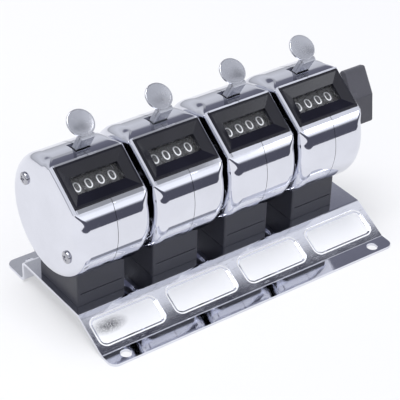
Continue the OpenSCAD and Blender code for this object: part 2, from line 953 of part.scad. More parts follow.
module sheet_profile() {
    c1 = [front_y + flat_len, fold_out];
    s0 = c1 + fold_out * [sin(slope_angle), -cos(slope_angle)];
    s1 = s0 + slope_flat * [cos(slope_angle), sin(slope_angle)];
    c2 = s1 + fold_r * [sin(slope_angle), -cos(slope_angle)];
    c3 = c2 + [deck_flat, 0];
    c4 = c3 + [fold_out + fold_r, -step_flat];
    translate([front_y, 0])
        square([flat_len, sheet_t]);
    bend(c1, -90, slope_angle);
    translate(s0)
        rotate(slope_angle)
            square([slope_flat, sheet_t]);
    bend(c2, 90, slope_angle);
    translate(c2 + [0, fold_r])
        square([deck_flat, sheet_t]);
    bend(c3, 0, 90);
    translate(c3 + [fold_r, -step_flat])
        square([sheet_t, step_flat]);
    bend(c4, 180, 90);
    translate(c4 - [0, fold_out])
        square([back_flat, sheet_t]);
}

module base_plate() {
    mid_y = (front_y + back_y) * half_share;
    color(chrome_tint)
        difference() {
            intersection() {
                across(plate_l)
                    sheet_profile();
                translate([0, mid_y, -over])
                    linear_extrude(deck_z + 2 * over)
                        round_rect(plate_l, back_y - front_y, corner_r);
            }
            translate([0, crest_y, deck_z])
                rotate([slope_angle, 0, 0])
                    for (i = [0 : counters - 1])
                        translate([pocket_shift + (i - row_mid) * pocket_pitch, -pocket_s, -pocket_depth])
                            linear_extrude(pocket_depth + over)
                                round_rect(pocket_l, pocket_w, pocket_corner);
            for (sx = [-1, 1])
                for (sy = [-1, 1])
                    translate([sx * hole_dx * half_share, sy * hole_dy * half_share, -over])
                        cylinder(r = hole_r, h = sheet_t + 2 * over);
            for (i = [0 : counters - 1])
                translate([counter_x(i), axis_y, deck_z - sheet_t - over])
                    stand_screw_places()
                        cylinder(r = stand_shank_r + screw_gap, h = sheet_t + 2 * over);
        }
}

// Reset shaft, knob, set screw and clips

module along_shaft(x) {
    translate([x, axis_y + shaft_y, axis_z + shaft_z])
        rotate([90, 0, 90])
            children();
}

module clip_places() {
    for (x = [first_x - plate_in + side_gap, last_x + plate_in - side_gap - clip_t])
        along_shaft(x)
            children();
}

module reset_shaft() {
    color(steel_tint)
        difference() {
            along_shaft(shaft_left)
                cylinder(r = shaft_r, h = shaft_right - shaft_left);
            along_shaft(first_x - wheel_pitch * 2)
                translate([-shaft_groove_w * half_share, shaft_r - shaft_groove_d, 0])
                    cube([shaft_groove_w, shaft_groove_d + over, last_x - first_x + wheel_pitch * 4]);
            clip_places()
                difference() {
                    translate([0, 0, -run_gap])
                        cylinder(r = shaft_r + over, h = clip_t + 2 * run_gap);
                    translate([0, 0, -over])
                        cylinder(r = clip_seat_r, h = clip_t + 2 * over);
                }
        }
}

module shaft_clips() {
    color(steel_tint)
        clip_places()
            linear_extrude(clip_t)
                difference() {
                    circle(clip_r);
                    circle(clip_seat_r + run_gap);
                    translate([-clip_mouth * half_share, 0])
                        square([clip_mouth, clip_r + over]);
                }
}

module reset_knob() {
    slant = atan2(wing_mid - wing_end, wing_half);
    color(black_tint)
        difference() {
            union() {
                along_shaft(hub_x)
                    cylinder(r = knob_hub_r, h = hub_l + wing_l * half_share);
                along_shaft(wing_x)
                    rotate(-wing_lean)
                        linear_extrude(wing_l)
                            wing_profile(slant);
            }
            along_shaft(hub_x - over)
                cylinder(r = shaft_r + run_gap, h = shaft_right - hub_x + side_gap + over);
            along_shaft(hub_x + set_x)
                rotate([90, 0, 0])
                    translate([0, 0, -knob_hub_r - over])
                        cylinder(r = set_r + run_gap, h = knob_hub_r + over);
        }
}

module wing_profile(slant) {
    shoulder = wing_end + wing_round * tan(slant);
    polygon([[-wing_mid, 0], [-shoulder, wing_half - wing_round],
        [-wing_end + wing_round, wing_half - wing_round], [-wing_end + wing_round, wing_half], [wing_end - wing_round, wing_half],
        [wing_end - wing_round, wing_half - wing_round], [shoulder, wing_half - wing_round], [wing_mid, 0],
        [shoulder, wing_round - wing_half], [wing_end - wing_round, wing_round - wing_half],
        [wing_end - wing_round, -wing_half], [wing_round - wing_end, -wing_half],
        [wing_round - wing_end, wing_round - wing_half], [-shoulder, wing_round - wing_half]]);
    for (sx = [-1, 1])
        for (sy = [-1, 1])
            translate([sx * (wing_end - wing_round), sy * (wing_half - wing_round)])
                circle(wing_round);
}

module knob_set_screw() {
    length = knob_hub_r - set_sink - shaft_r;
    color(steel_tint)
        along_shaft(hub_x + set_x)
            rotate([-90, 0, 0])
                translate([0, 0, shaft_r])
                    difference() {
                        cylinder(r = set_r, h = length);
                        translate([0, 0, length - set_socket_d])
                            cylinder(r = set_socket_r, h = set_socket_d + over, $fn = 6);
                    }
}

// Node switches

base_plate();
stand_screws();
case_screws();
reset_shaft();
reset_knob();
knob_set_screw();
shaft_clips();
for (i = [0 : counters - 1]) {
    at_counter(i) case_left(i > 0);
    at_counter(i) case_right();
    at_counter(i) bezel();
    at_counter(i) lens();
    at_counter(i) frame();
    at_counter(i) lever();
    at_counter(i) lever_spring();
    at_counter(i) wheel_units();
    at_counter(i) wheel_tens();
    at_counter(i) wheel_hundreds();
    at_counter(i) wheel_thousands();
    at_counter(i) pinions();
    at_counter(i) stand_block();
}
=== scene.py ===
import math

import bmesh
import bpy
from mathutils import Matrix, Vector


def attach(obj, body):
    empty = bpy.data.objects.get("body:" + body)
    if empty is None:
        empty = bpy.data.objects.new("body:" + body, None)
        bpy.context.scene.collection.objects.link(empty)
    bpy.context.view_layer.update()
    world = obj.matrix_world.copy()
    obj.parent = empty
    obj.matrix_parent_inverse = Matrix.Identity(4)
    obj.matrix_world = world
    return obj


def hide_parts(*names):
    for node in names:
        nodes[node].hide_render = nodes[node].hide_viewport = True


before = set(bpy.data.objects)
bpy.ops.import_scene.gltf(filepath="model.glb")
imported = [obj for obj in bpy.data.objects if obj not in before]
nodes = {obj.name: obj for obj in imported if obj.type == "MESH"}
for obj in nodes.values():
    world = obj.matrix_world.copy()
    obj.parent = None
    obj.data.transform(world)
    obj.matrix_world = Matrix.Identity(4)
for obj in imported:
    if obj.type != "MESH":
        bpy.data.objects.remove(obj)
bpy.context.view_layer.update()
mm = 0.001

row = {
    "centres": [-51.1, -19.8, 11.5, 42.8],  # counter centre lines along X
    "axisY": 2.7,
    "axisZ": 41.0,
    "tilt": 35.0,  # window face, degrees
    "shaftD": 6.645,  # reset shaft over the axis, square to the window face
    "shaftS": 0.6,  # and along it
    "standScrewX": 5.499,  # stand screws to either side of a centre line
}


def turn(degrees, axis):
    return Matrix.Rotation(math.radians(degrees), 4, axis)


def shift(x=0, y=0, z=0):
    return Matrix.Translation((x, y, z))


def ray(radius, degrees):
    a = math.radians(degrees)
    return radius * math.cos(a), radius * math.sin(a)


toMetres = Matrix.Scale(mm, 4)
facePlane = turn(row["tilt"], "X")
alongX = turn(90, "Y")
sideOn = Matrix(((0, 0, 1, 0), (1, 0, 0, 0), (0, 1, 0, 0), (0, 0, 0, 1)))  # flat pieces stood in YZ
upright = Matrix(((1, 0, 0, 0), (0, 0, -1, 0), (0, 1, 0, 0), (0, 0, 0, 1)))  # and in XZ


def counterPlace(i):
    return toMetres @ shift(row["centres"][i], row["axisY"], row["axisZ"])


def shaftOffset():
    return facePlane @ Vector((0, row["shaftS"], row["shaftD"]))


# general mesh helpers, all in millimetres until a piece is placed

def move(bm, matrix):
    bmesh.ops.transform(bm, matrix=matrix, verts=bm.verts)
    return bm


def copyOf(bm, matrix):
    return move(bm.copy(), matrix)


def span(edge):
    return edge.verts[1].co - edge.verts[0].co


def roundCorners(bm, verts, width, segments):
    bmesh.ops.bevel(bm, geom=verts, offset=width, segments=segments, profile=0.5,
                    affect="VERTICES", material=-1)


def sharpEdges(bm, degrees=60):
    limit = math.radians(degrees)
    return [e for e in bm.edges if len(e.link_faces) == 2 and e.calc_face_angle(0) > limit]


def soften(bm, width, edges=None, segments=2):
    # bevel along the sharp or the given edges
    edges = sharpEdges(bm) if edges is None else edges
    if edges:
        bmesh.ops.bevel(bm, geom=edges, offset=width, segments=segments, profile=0.5,
                        affect="EDGES", clamp_overlap=True, material=-1)
    return bm


def recalc(bm):
    bmesh.ops.recalc_face_normals(bm, faces=bm.faces)
    return bm


def weld(bm):
    bmesh.ops.remove_doubles(bm, verts=bm.verts, dist=1e-4)


def polygon(points):
    bm = bmesh.new()
    bm.faces.new([bm.verts.new(p) for p in points])
    return bm


def rectangle(w, h, z=0):
    return polygon([(-w / 2, -h / 2, z), (w / 2, -h / 2, z), (w / 2, h / 2, z), (-w / 2, h / 2, z)])


def pullOut(bm, faces, vector):
    got = bmesh.ops.extrude_face_region(bm, geom=faces)["geom"]
    bmesh.ops.translate(bm, vec=vector, verts=[g for g in got if isinstance(g, bmesh.types.BMVert)])
    return [g for g in got if isinstance(g, bmesh.types.BMFace)]


def prism(bm, vector):
    pullOut(bm, bm.faces[:], vector)
    return recalc(bm)


def plate(w, h, thick, corner, corners=4):
    # rounded rectangle round the origin, from z = 0 up
    bm = rectangle(w, h)
    if corner:
        roundCorners(bm, bm.verts[:], corner, corners)
    return prism(bm, (0, 0, thick))


def turned(points, steps=48):
    # full turn of a profile of (radius, height) points round Z
    bm = bmesh.new()
    made = [bm.verts.new((r, 0, z)) for r, z in points]
    for a, b in zip(made, made[1:]):
        bm.edges.new((a, b))
    bmesh.ops.spin(bm, geom=bm.verts[:] + bm.edges[:], cent=(0, 0, 0), axis=(0, 0, 1),
                   angle=math.tau, steps=steps, use_merge=True)
    weld(bm)
    return recalc(bm)


def rod(radius, low, high, steps):
    return turned([(0, low), (radius, low), (radius, high), (0, high)], steps)


def join(parts):
    bm = bmesh.new()
    mesh = bpy.data.meshes.new("joining")
    for part in parts:
        part.to_mesh(mesh)
        part.free()
        bm.from_mesh(mesh)
    bpy.data.meshes.remove(mesh)
    return bm


def objectOf(name, data):
    obj = bpy.data.objects.new(name, data)
    bpy.context.scene.collection.objects.link(obj)
    return obj


def asObject(bm, name):
    mesh = bpy.data.meshes.new(name)
    bm.to_mesh(mesh)
    bm.free()
    return objectOf(name, mesh)


def carve(bm, cutter, operation="DIFFERENCE"):
    # boolean of two closed forms, with nothing left behind but the result
    body = asObject(bm, "carved")
    tool = asObject(cutter, "cutter")
    step = body.modifiers.new("cut", "BOOLEAN")
    step.operation = operation
    step.solver = "EXACT"
    step.object = tool
    ready = body.evaluated_get(bpy.context.evaluated_depsgraph_get())
    result = bmesh.new()
    result.from_mesh(ready.to_mesh())
    ready.to_mesh_clear()
    for obj in (body, tool):
        mesh = obj.data
        bpy.data.objects.remove(obj)
        bpy.data.meshes.remove(mesh)
    return result


def wire(points, radius):
    curve = bpy.data.curves.new("wire", "CURVE")
    curve.dimensions = "3D"
    curve.bevel_depth = radius
    curve.bevel_resolution = 2
    curve.use_fill_caps = True
    spline = curve.splines.new("POLY")
    spline.points.add(len(points) - 1)
    for p, co in zip(spline.points, points):
        p.co = (*co, 1)
    obj = objectOf("wire", curve)
    bm = bmesh.new()
    bm.from_mesh(obj.to_mesh())
    obj.to_mesh_clear()
    bpy.data.objects.remove(obj)
    bpy.data.curves.remove(curve)
    return bm


def finish(bm, name, body, mats, hides=(), slot=None, sharp=38, weigh=True):
    recalc(bm)
    for face in bm.faces:
        face.smooth = True
    obj = asObject(bm, name)
    obj.data.set_sharp_from_angle(angle=math.radians(sharp))
    for mat in mats:
        obj.data.materials.append(skins[mat])
    if weigh:
        obj.modifiers.new("evenShading", "WEIGHTED_NORMAL").keep_sharp = True
    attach(obj, body)
    if hides:
        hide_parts(*hides)


def onCounters(forms, name, body, mat, hides, slot, sharp=38, weigh=True):
    # a piece on each counter, # in a body's name being its number; the last form serves the rest
    for i in range(4):
        form = forms[min(i, len(forms) - 1)]
        finish(copyOf(form, counterPlace(i)), f"{name}{i + 1}", body.replace("#", str(i + 1)), [mat],
               [f"{hides}_{i + 1}"], slot, sharp, weigh)
    for form in forms:
        form.free()


# materials

def feed(tree, socket, value):
    # a plain value, or the output of another node
    if isinstance(value, bpy.types.NodeSocket):
        tree.links.new(value, socket)
    else:
        socket.default_value = value


def feedAll(tree, n, sockets):
    for key, value in sockets.items():
        feed(tree, n.inputs[key.replace("_", " ")], value)
    return n


def nodeOf(tree, kind, setup=None, **sockets):
    n = tree.nodes.new("ShaderNode" + kind)
    for key, value in (setup or {}).items():
        setattr(n, key, value)
    return feedAll(tree, n, sockets)


def mathOf(tree, operation, *values, vector=False):
    n = nodeOf(tree, "VectorMath" if vector else "Math", {"operation": operation})
    for socket, value in zip(n.inputs, values):
        feed(tree, socket, value)
    return n.outputs[1 if operation in ("DOT_PRODUCT", "LENGTH") else 0]


def mapped(tree, source, start, stop, low=0.0, high=1.0):
    n = nodeOf(tree, "MapRange", Value=source, From_Min=start, From_Max=stop, To_Min=low, To_Max=high)
    return n.outputs["Result"]


def mixed(tree, share, first, second):
    n = nodeOf(tree, "Mix", {"data_type": "RGBA"}, Factor=share, A=first, B=second)
    return n.outputs["Result"]


def blended(tree, share, first, second):
    n = nodeOf(tree, "MixShader", Fac=share)
    feed(tree, n.inputs[1], first)
    feed(tree, n.inputs[2], second)
    return n.outputs[0]


def rampOf(tree, source, stops):
    # colour ramp through stops of (position, colour)
    n = nodeOf(tree, "ValToRGB", Fac=source)
    elements = n.color_ramp.elements
    elements[0].position = stops[0][0]
    elements[1].position = stops[-1][0]
    for at, _ in stops[1:-1]:
        elements.new(at)
    for element, (_, colour) in zip(elements, stops):
        element.color = (*colour, 1)
    return n.outputs["Color"]


def layOut(tree):
    # columns by distance from the output, for whoever opens the tree
    depth = dict.fromkeys(tree.nodes.keys(), 0)
    for _ in depth:
        for wired in tree.links:
            start, end = wired.from_node.name, wired.to_node.name
            depth[start] = max(depth[start], depth[end] + 1)
    for k, n in enumerate(tree.nodes):
        n.location = (-240 * depth[n.name], -120 * k)


def newMaterial(name, **sockets):
    mat = bpy.data.materials.new(name)
    mat.use_nodes = True
    tree = mat.node_tree
    return mat, tree, feedAll(tree, tree.nodes["Principled BSDF"], sockets)


def grainGroup():
    # fine grain, soft clouds and hair scratches as plain 0 to 1 values
    group = bpy.data.node_groups.new("surfaceGrain", "ShaderNodeTree")
    group.interface.new_socket("Vector", in_out="INPUT", socket_type="NodeSocketVector")
    for name in ("Grain", "Clouds", "Scratches"):
        group.interface.new_socket(name, in_out="OUTPUT", socket_type="NodeSocketFloat")
    place = group.nodes.new("NodeGroupInput").outputs["Vector"]
    end = group.nodes.new("NodeGroupOutput")
    grain = nodeOf(group, "TexNoise", Vector=place, Scale=2600, Detail=3)
    clouds = nodeOf(group, "TexNoise", Vector=place, Scale=70, Detail=5, Roughness=0.6)
    drawn = nodeOf(group, "Mapping", Vector=place, Rotation=(0.3, 0.9, 0.4), Scale=(1, 14, 1))
    hair = nodeOf(group, "TexNoise", Vector=drawn.outputs[0], Scale=260, Detail=4, Roughness=0.7)
    feed(group, end.inputs["Grain"], grain.outputs["Fac"])
    feed(group, end.inputs["Clouds"], clouds.outputs["Fac"])
    feed(group, end.inputs["Scratches"], mapped(group, hair.outputs["Fac"], 0.60, 0.72))
    layOut(group)
    return group


surfaceGrain = grainGroup()


def withGrain(tree):
    coord = nodeOf(tree, "TexCoord")
    return nodeOf(tree, "Group", {"node_tree": surfaceGrain}, Vector=coord.outputs["Object"]).outputs


finishes = {
    # name: base dark, base light, roughness low, high, metallic, bump, scratch bump
    "chromePlate": ((0.70, 0.71, 0.765), (0.755, 0.765, 0.825), 0.03, 0.075, 1.0, 0.004, 0.02),
    "chromeSheet": ((0.69, 0.70, 0.755), (0.77, 0.78, 0.84), 0.03, 0.07, 1.0, 0.01, 0.03),
    "steelBright": ((0.42, 0.42, 0.43), (0.60, 0.60, 0.61), 0.22, 0.42, 1.0, 0.05, 0.10),
    "leverChrome": ((0.44, 0.45, 0.49), (0.56, 0.57, 0.61), 0.20, 0.32, 1.0, 0.02, 0.04),
    "screwSteel": ((0.36, 0.36, 0.39), (0.50, 0.50, 0.53), 0.10, 0.20, 1.0, 0.03, 0.05),
    "springSteel": ((0.30, 0.30, 0.32), (0.46, 0.46, 0.48), 0.20, 0.35, 1.0, 0.04, 0.08),
    "brassCast": ((0.55, 0.36, 0.13), (0.78, 0.56, 0.24), 0.22, 0.45, 1.0, 0.05, 0.08),
    "bezelBlack": ((0.004, 0.004, 0.008), (0.007, 0.007, 0.014), 0.10, 0.17, 0.0, 0.06, 0.03),
    "blockBlack": ((0.028, 0.029, 0.040), (0.043, 0.044, 0.058), 0.38, 0.55, 0.0, 0.30, 0.04),
    "knobBlack": ((0.056, 0.056, 0.069), (0.084, 0.083, 0.100), 0.34, 0.50, 0.0, 0.35, 0.04),
    "wheelBlack": ((0.004, 0.004, 0.005), (0.007, 0.007, 0.008), 0.40, 0.50, 0.0, 0.04, 0.0),
    "figureWhite": ((0.90, 0.90, 0.90), (0.96, 0.96, 0.95), 0.45, 0.65, 0.0, 0.10, 0.0),
    "fieldWhite": ((0.93, 0.935, 0.95), (0.97, 0.972, 0.98), 0.42, 0.60, 0.0, 0.12, 0.02),
}

surface = {
    "clouds": (0.3, 0.7),  # share of the cloud noise that tint and roughness run through
    "dull": ("bezelBlack", "wheelBlack"), "dullLevel": 0.42, "level": 0.5,
    "wearR": 0.0005, "wearGain": 12.0, "wearLift": 1.15, "wearPlastic": 0.012,  # worn edges are lighter
    "scratchRough": 0.06, "grainHigh": 0.0002, "scratchDeep": 0.00005,
}


def edgeMask(tree):
    # bright on outer edges: how far the shading normal of a small bevel leaves the true one
    bevel = nodeOf(tree, "Bevel", Radius=surface["wearR"])
    true = nodeOf(tree, "NewGeometry")
    match = mathOf(tree, "DOT_PRODUCT", bevel.outputs["Normal"], true.outputs["Normal"], vector=True)
    return mapped(tree, match, 1.0, 1.0 - 1.0 / surface["wearGain"])


def addFinish(name):
    dark, light, low, high, metal, bump, scratch = finishes[name]
    s = surface
    level = s["dullLevel"] if name in s["dull"] else s["level"]
    mat, tree, shader = newMaterial(name, Metallic=metal, Specular_IOR_Level=level)
    grain = withGrain(tree)
    start, stop = s["clouds"]
    base = rampOf(tree, grain["Clouds"], [(start, dark), (stop, light)])
    worn = [min(1, c * s["wearLift"] + (0.0 if metal else s["wearPlastic"])) for c in light]
    wear = mathOf(tree, "MULTIPLY", edgeMask(tree), grain["Clouds"])
    feed(tree, shader.inputs["Base Color"], mixed(tree, wear, base, (*worn, 1)))
    rough = mapped(tree, grain["Clouds"], start, stop, low, high)
    rubbed = mathOf(tree, "MULTIPLY_ADD", grain["Scratches"], s["scratchRough"], rough)
    feed(tree, shader.inputs["Roughness"], rubbed)
    relief = nodeOf(tree, "Bump", Strength=bump, Distance=s["grainHigh"], Height=grain["Grain"])
    if scratch:
        relief = nodeOf(tree, "Bump", {"invert": True}, Strength=scratch, Distance=s["scratchDeep"],
                        Height=grain["Scratches"], Normal=relief.outputs["Normal"])
    feed(tree, shader.inputs["Normal"], relief.outputs["Normal"])
    layOut(tree)
    return mat


smudge = {
    "place": (-0.0545, -0.0198, 0.0054), "reach": (0.0080, 0.0034, 0.0034),
    "fade": (1.0, 0.25), "specks": (0.38, 0.50), "speckScale": 4200.0, "colour": (0.05, 0.05, 0.065, 1),
}


def addSmudge(mat):
    # dark rub mark on the first label field
    s = smudge
    tree = mat.node_tree
    paint = tree.nodes["Principled BSDF"].inputs["Base Color"]
    clean = paint.links[0].from_socket
    here = nodeOf(tree, "TexCoord").outputs["Object"]
    off = mathOf(tree, "SUBTRACT", here, s["place"], vector=True)
    off = mathOf(tree, "DIVIDE", off, s["reach"], vector=True)
    fade = mapped(tree, mathOf(tree, "LENGTH", off, vector=True), *s["fade"])
    noise = nodeOf(tree, "TexNoise", Vector=here, Scale=s["speckScale"], Detail=2.0)
    specks = mapped(tree, noise.outputs["Fac"], *s["specks"])
    share = mathOf(tree, "MULTIPLY", fade, specks)
    feed(tree, paint, mixed(tree, share, clean, s["colour"]))
    layOut(tree)


def clearMaterial():
    mat, tree, shader = newMaterial(
        "clearLens", Base_Color=(0.97, 0.98, 1.0, 1), Transmission_Weight=1.0, IOR=1.03,
        Coat_Weight=1.0, Coat_Roughness=0.28, Coat_IOR=1.49)
    grain = withGrain(tree)
    feed(tree, shader.inputs["Roughness"], mapped(tree, grain["Scratches"], 0.0, 1.0, 0.0, 0.02))
    relief = nodeOf(tree, "Bump", Strength=0.01, Distance=0.0001, Height=grain["Clouds"])
    feed(tree, shader.inputs["Normal"], relief.outputs["Normal"])
    # lamps reach the wheels through the clear sheet
    path = nodeOf(tree, "LightPath")
    through = nodeOf(tree, "BsdfTransparent")
    choice = blended(tree, path.outputs["Is Shadow Ray"], shader.outputs[0], through.outputs[0])
    feed(tree, tree.nodes["Material Output"].inputs["Surface"], choice)
    layOut(tree)
    return mat


skins = {name: addFinish(name) for name in finishes}
skins["clearLens"] = clearMaterial()
addSmudge(skins["fieldWhite"])
print("frame and materials ready:", len(nodes), "nodes")

# camera at the photograph's place

cameraSettings = {
    "place": (-283.94, -372.40, 343.94),
    "azimuth": -37.079,
    "roll": 1.950,
    "back": (-0.49837, -0.65946, 0.56280),
    "focalPixels": 1567.75, "imagePixels": 400, "sensor": 36, "clip": 0.01,
}


def addCamera():
    s = cameraSettings
    back = Vector(s["back"]).normalized()
    flat = Vector((*ray(1, s["azimuth"]), 0))
    level, rolled = ray(1, s["roll"])
    right = level * flat + rolled * back.cross(flat)
    cam = bpy.data.cameras.new("camera")
    cam.sensor_width = s["sensor"]
    cam.lens = s["focalPixels"] * cam.sensor_width / s["imagePixels"]
    cam.clip_start = s["clip"]
    obj = objectOf("camera", cam)
    aim = Matrix((right, back.cross(right), back)).transposed().to_4x4()
    obj.matrix_world = Matrix.Translation(Vector(s["place"]) * mm) @ aim
    bpy.context.scene.camera = obj


addCamera()

# pale floor, one soft lamp, and a sky for the chrome; the camera sees plain white

studio = {
    "floor": (0.50, 0.50, 0.505), "floorRough": 0.9,
    "floorRadius": 0.72, "floorBack": 0.42, "floorGlow": 0.38,
    "topPower": 8.5, "topPlace": (-0.15, 0.05, 1.1), "topSize": 0.7,
    # sky brightness towards the front, by the sine of the height
    "front": [(-1.0, 0.60), (-0.18, 0.40), (-0.14, 0.10), (0.115, 0.10), (0.14, 0.45), (0.175, 1.25),
              (0.27, 1.25), (0.32, 0.96), (0.55, 0.90), (0.72, 0.80), (0.80, 0.95), (0.90, 0.95),
              (0.95, 0.4), (1.0, 0.2)],
    # and towards the back
    "back": [(-1.0, 0.60), (-0.02, 0.50), (0.05, 0.62), (0.30, 0.78), (0.50, 0.68), (0.565, 0.20),
             (0.70, 0.15), (1.0, 0.20)],
    "turnover": (-0.05, 0.35),  # depth at which front gives way to back
    "tint": (0.955, 0.975, 1.04), "darkBlue": 0.32,
    # soft boxes and dark flags: limits of the direction's parts, softness, brightness
    "slant": 0.086,
    "fields": [({"X": (0.36, 0.514), "Y": (-0.36, -0.215), "Z": (0.5, 1.0)}, 0.006, 0.42),
               ({"X": (0.548, 0.72), "Y": (-0.82, -0.70), "Z": (0.22, 0.34)}, 0.008, 3.6),
               ({"X": (0.30, 0.45), "Y": (0.692, 0.90), "Z": (0.5, 0.7)}, 0.006, 0.50),
               ({"X": (0.30, 0.70), "row": (-0.26, -0.187), "Z": (0.75, 1.0)}, 0.002, 0.07),
               ({"X": (0.30, 0.418), "row": (-0.26, -0.173), "Z": (0.75, 1.0)}, 0.002, 0.09)],
    "flagBelow": 0.3, "boxTint": (0.94, 0.96, 1.02, 1), "flagTint": (0.94, 0.96, 1.3, 1),
}


def skyStops(stops):
    # dark parts of the sky are bluer
    red, green, blue = studio["tint"]
    deep = studio["darkBlue"]
    return [((at + 1) / 2, (g * red, g * green, g * (blue + deep * max(0.0, 1 - 2 * g)))) for at, g in stops]


def between(tree, value, low, high, soft):
    # 1 between two values and 0 past them
    rising = mapped(tree, value, low - soft, low + soft)
    falling = mapped(tree, value, high + soft, high - soft)
    return mathOf(tree, "MULTIPLY", rising, falling)


def skyField(tree, parts, limits, soft):
    # 1 in a field of the sky between limits of the direction's parts
    total = None
    for axis, (low, high) in limits.items():
        inside = between(tree, parts[axis], low, high, soft)
        total = inside if total is None else mathOf(tree, "MULTIPLY", total, inside)
    return total


def addSky():
    s = studio
    world = bpy.data.worlds.new("studioSky")
    bpy.context.scene.world = world
    world.use_nodes = True
    tree = world.node_tree
    tree.nodes.clear()
    split = nodeOf(tree, "SeparateXYZ", Vector=nodeOf(tree, "TexCoord").outputs["Generated"])
    parts = {axis: split.outputs[axis] for axis in "XYZ"}
    # depth less a share of the side: runs along the row of label fields
    parts["row"] = mathOf(tree, "MULTIPLY_ADD", parts["X"], -s["slant"], parts["Y"])
    height = mapped(tree, parts["Z"], -1.0, 1.0)
    side = mapped(tree, parts["Y"], *s["turnover"])
    front, back = [rampOf(tree, height, skyStops(s[part])) for part in ("front", "back")]
    lit = nodeOf(tree, "Background", Color=mixed(tree, side, front, back)).outputs[0]
    for limits, soft, power in s["fields"]:
        tint = s["boxTint"] if power > s["flagBelow"] else s["flagTint"]
        field = nodeOf(tree, "Background", Color=tint, Strength=power)
        lit = blended(tree, skyField(tree, parts, limits, soft), lit, field.outputs[0])
    plain = nodeOf(tree, "Background", Color=(1, 1, 1, 1))
    seen = blended(tree, nodeOf(tree, "LightPath").outputs["Is Camera Ray"], lit, plain.outputs[0])
    nodeOf(tree, "OutputWorld", Surface=seen)
    layOut(tree)


def addStudio():
    s = studio
    addSky()
    bm = bmesh.new()
    bmesh.ops.create_circle(bm, cap_ends=True, segments=96, radius=s["floorRadius"])
    floor = asObject(move(bm, shift(0, s["floorBack"])), "floor")
    paper = newMaterial("floorPaper", Base_Color=(*s["floor"], 1), Roughness=s["floorRough"],
                        Emission_Color=(1, 1, 1, 1), Emission_Strength=s["floorGlow"])
    floor.data.materials.append(paper[0])
    light = bpy.data.lights.new("lampTop", "AREA")
    light.shape = "DISK"
    light.size = s["topSize"]
    light.energy = s["topPower"]
    lamp = objectOf("lampTop", light)
    lamp.location = s["topPlace"]
    lamp.rotation_euler = (-Vector(s["topPlace"])).to_track_quat("-Z", "Y").to_euler()
    bpy.context.scene.view_settings.view_transform = "Standard"


addStudio()
print("camera and studio set")

# counter case: a cup for each half, spun round the case axis, with the hood drawn out of it

caseSizes = {
    "radius": 22.5, "half": 14.7, "rim": 4.3, "wall": 1.2, "steps": 240,
    "faceRings": (0, 6, 12, 16), "rimLead": 0.25, "wallLead": 0.3, "wallRings": (7.5, 11),
    "seam": 0.3, "seamGap": 0.1, "seamSoft": 0.2, "seamR": 21.9, "seamD": 20.5,
    "hoodTop": 20.8, "hoodLow": 8.9, "hoodHigh": 9.7, "hoodAcross": 1.65, "midUp": 2.7, "endUp": 2.2,
    "flare": 14.0, "edgeCut": 0.006, "flareCuts": (0.02, 0.06, 0.1),
    "holeW": 27.0, "holeH": 16.4, "holeS": 0.85,
    "slot": (-2.2, 3.8, -0.85, 5.45), "slotMargin": (4, 2),
    "openFrom": 17, "hoodSpan": 12, "topFrom": 19,  # parts of the wall that the openings lie in
    "shaftHole": 2.6, "screwHole": 1.4,
    "screws": ((0.679, 39.4), (0.714, 207.4)),  # share of the radius, degrees
}
screwPlaces = [ray(caseSizes["radius"] * share, degrees) for share, degrees in caseSizes["screws"]]


def hoodEdges():
    s = caseSizes
    return (-math.atan2(s["hoodLow"], s["hoodTop"]), math.atan2(s["hoodHigh"], s["hoodTop"]))


def caseReach(angle):
    # outer radius at an angle from the window face's normal, then the rim rounding across and up
    s = caseSizes
    low, high = hoodEdges()
    flare = math.radians(s["flare"])
    middle, half = (low + high) / 2, (high - low) / 2
    rise = max(0.0, 1 - ((angle - middle) / half) ** 2)
    hoodUp = s["endUp"] + (s["midUp"] - s["endUp"]) * rise
    if low <= angle <= high:
        return s["hoodTop"] / math.cos(angle), s["hoodAcross"], hoodUp
    past, wall = (low - angle, s["hoodLow"]) if angle < low else (angle - high, s["hoodHigh"])
    if past >= flare:
        return s["radius"], s["rim"], s["rim"]
    t = 1 - past / flare
    hood = t * t * (3 - 2 * t)
    across, up = [s["rim"] + (there - s["rim"]) * hood for there in (s["hoodAcross"], hoodUp)]
    return max(s["radius"], wall / abs(math.sin(angle))), across, up


def cutAcross(bm, point, normal, keep):
    # new edges where a plane crosses the faces whose middle is kept
    geom = {}
    for f in bm.faces:
        if keep(f.calc_center_median()):
            geom.update(dict.fromkeys([f, *f.edges, *f.verts]))
    bmesh.ops.bisect_plane(bm, geom=list(geom), dist=1e-5, plane_co=point, plane_no=normal)


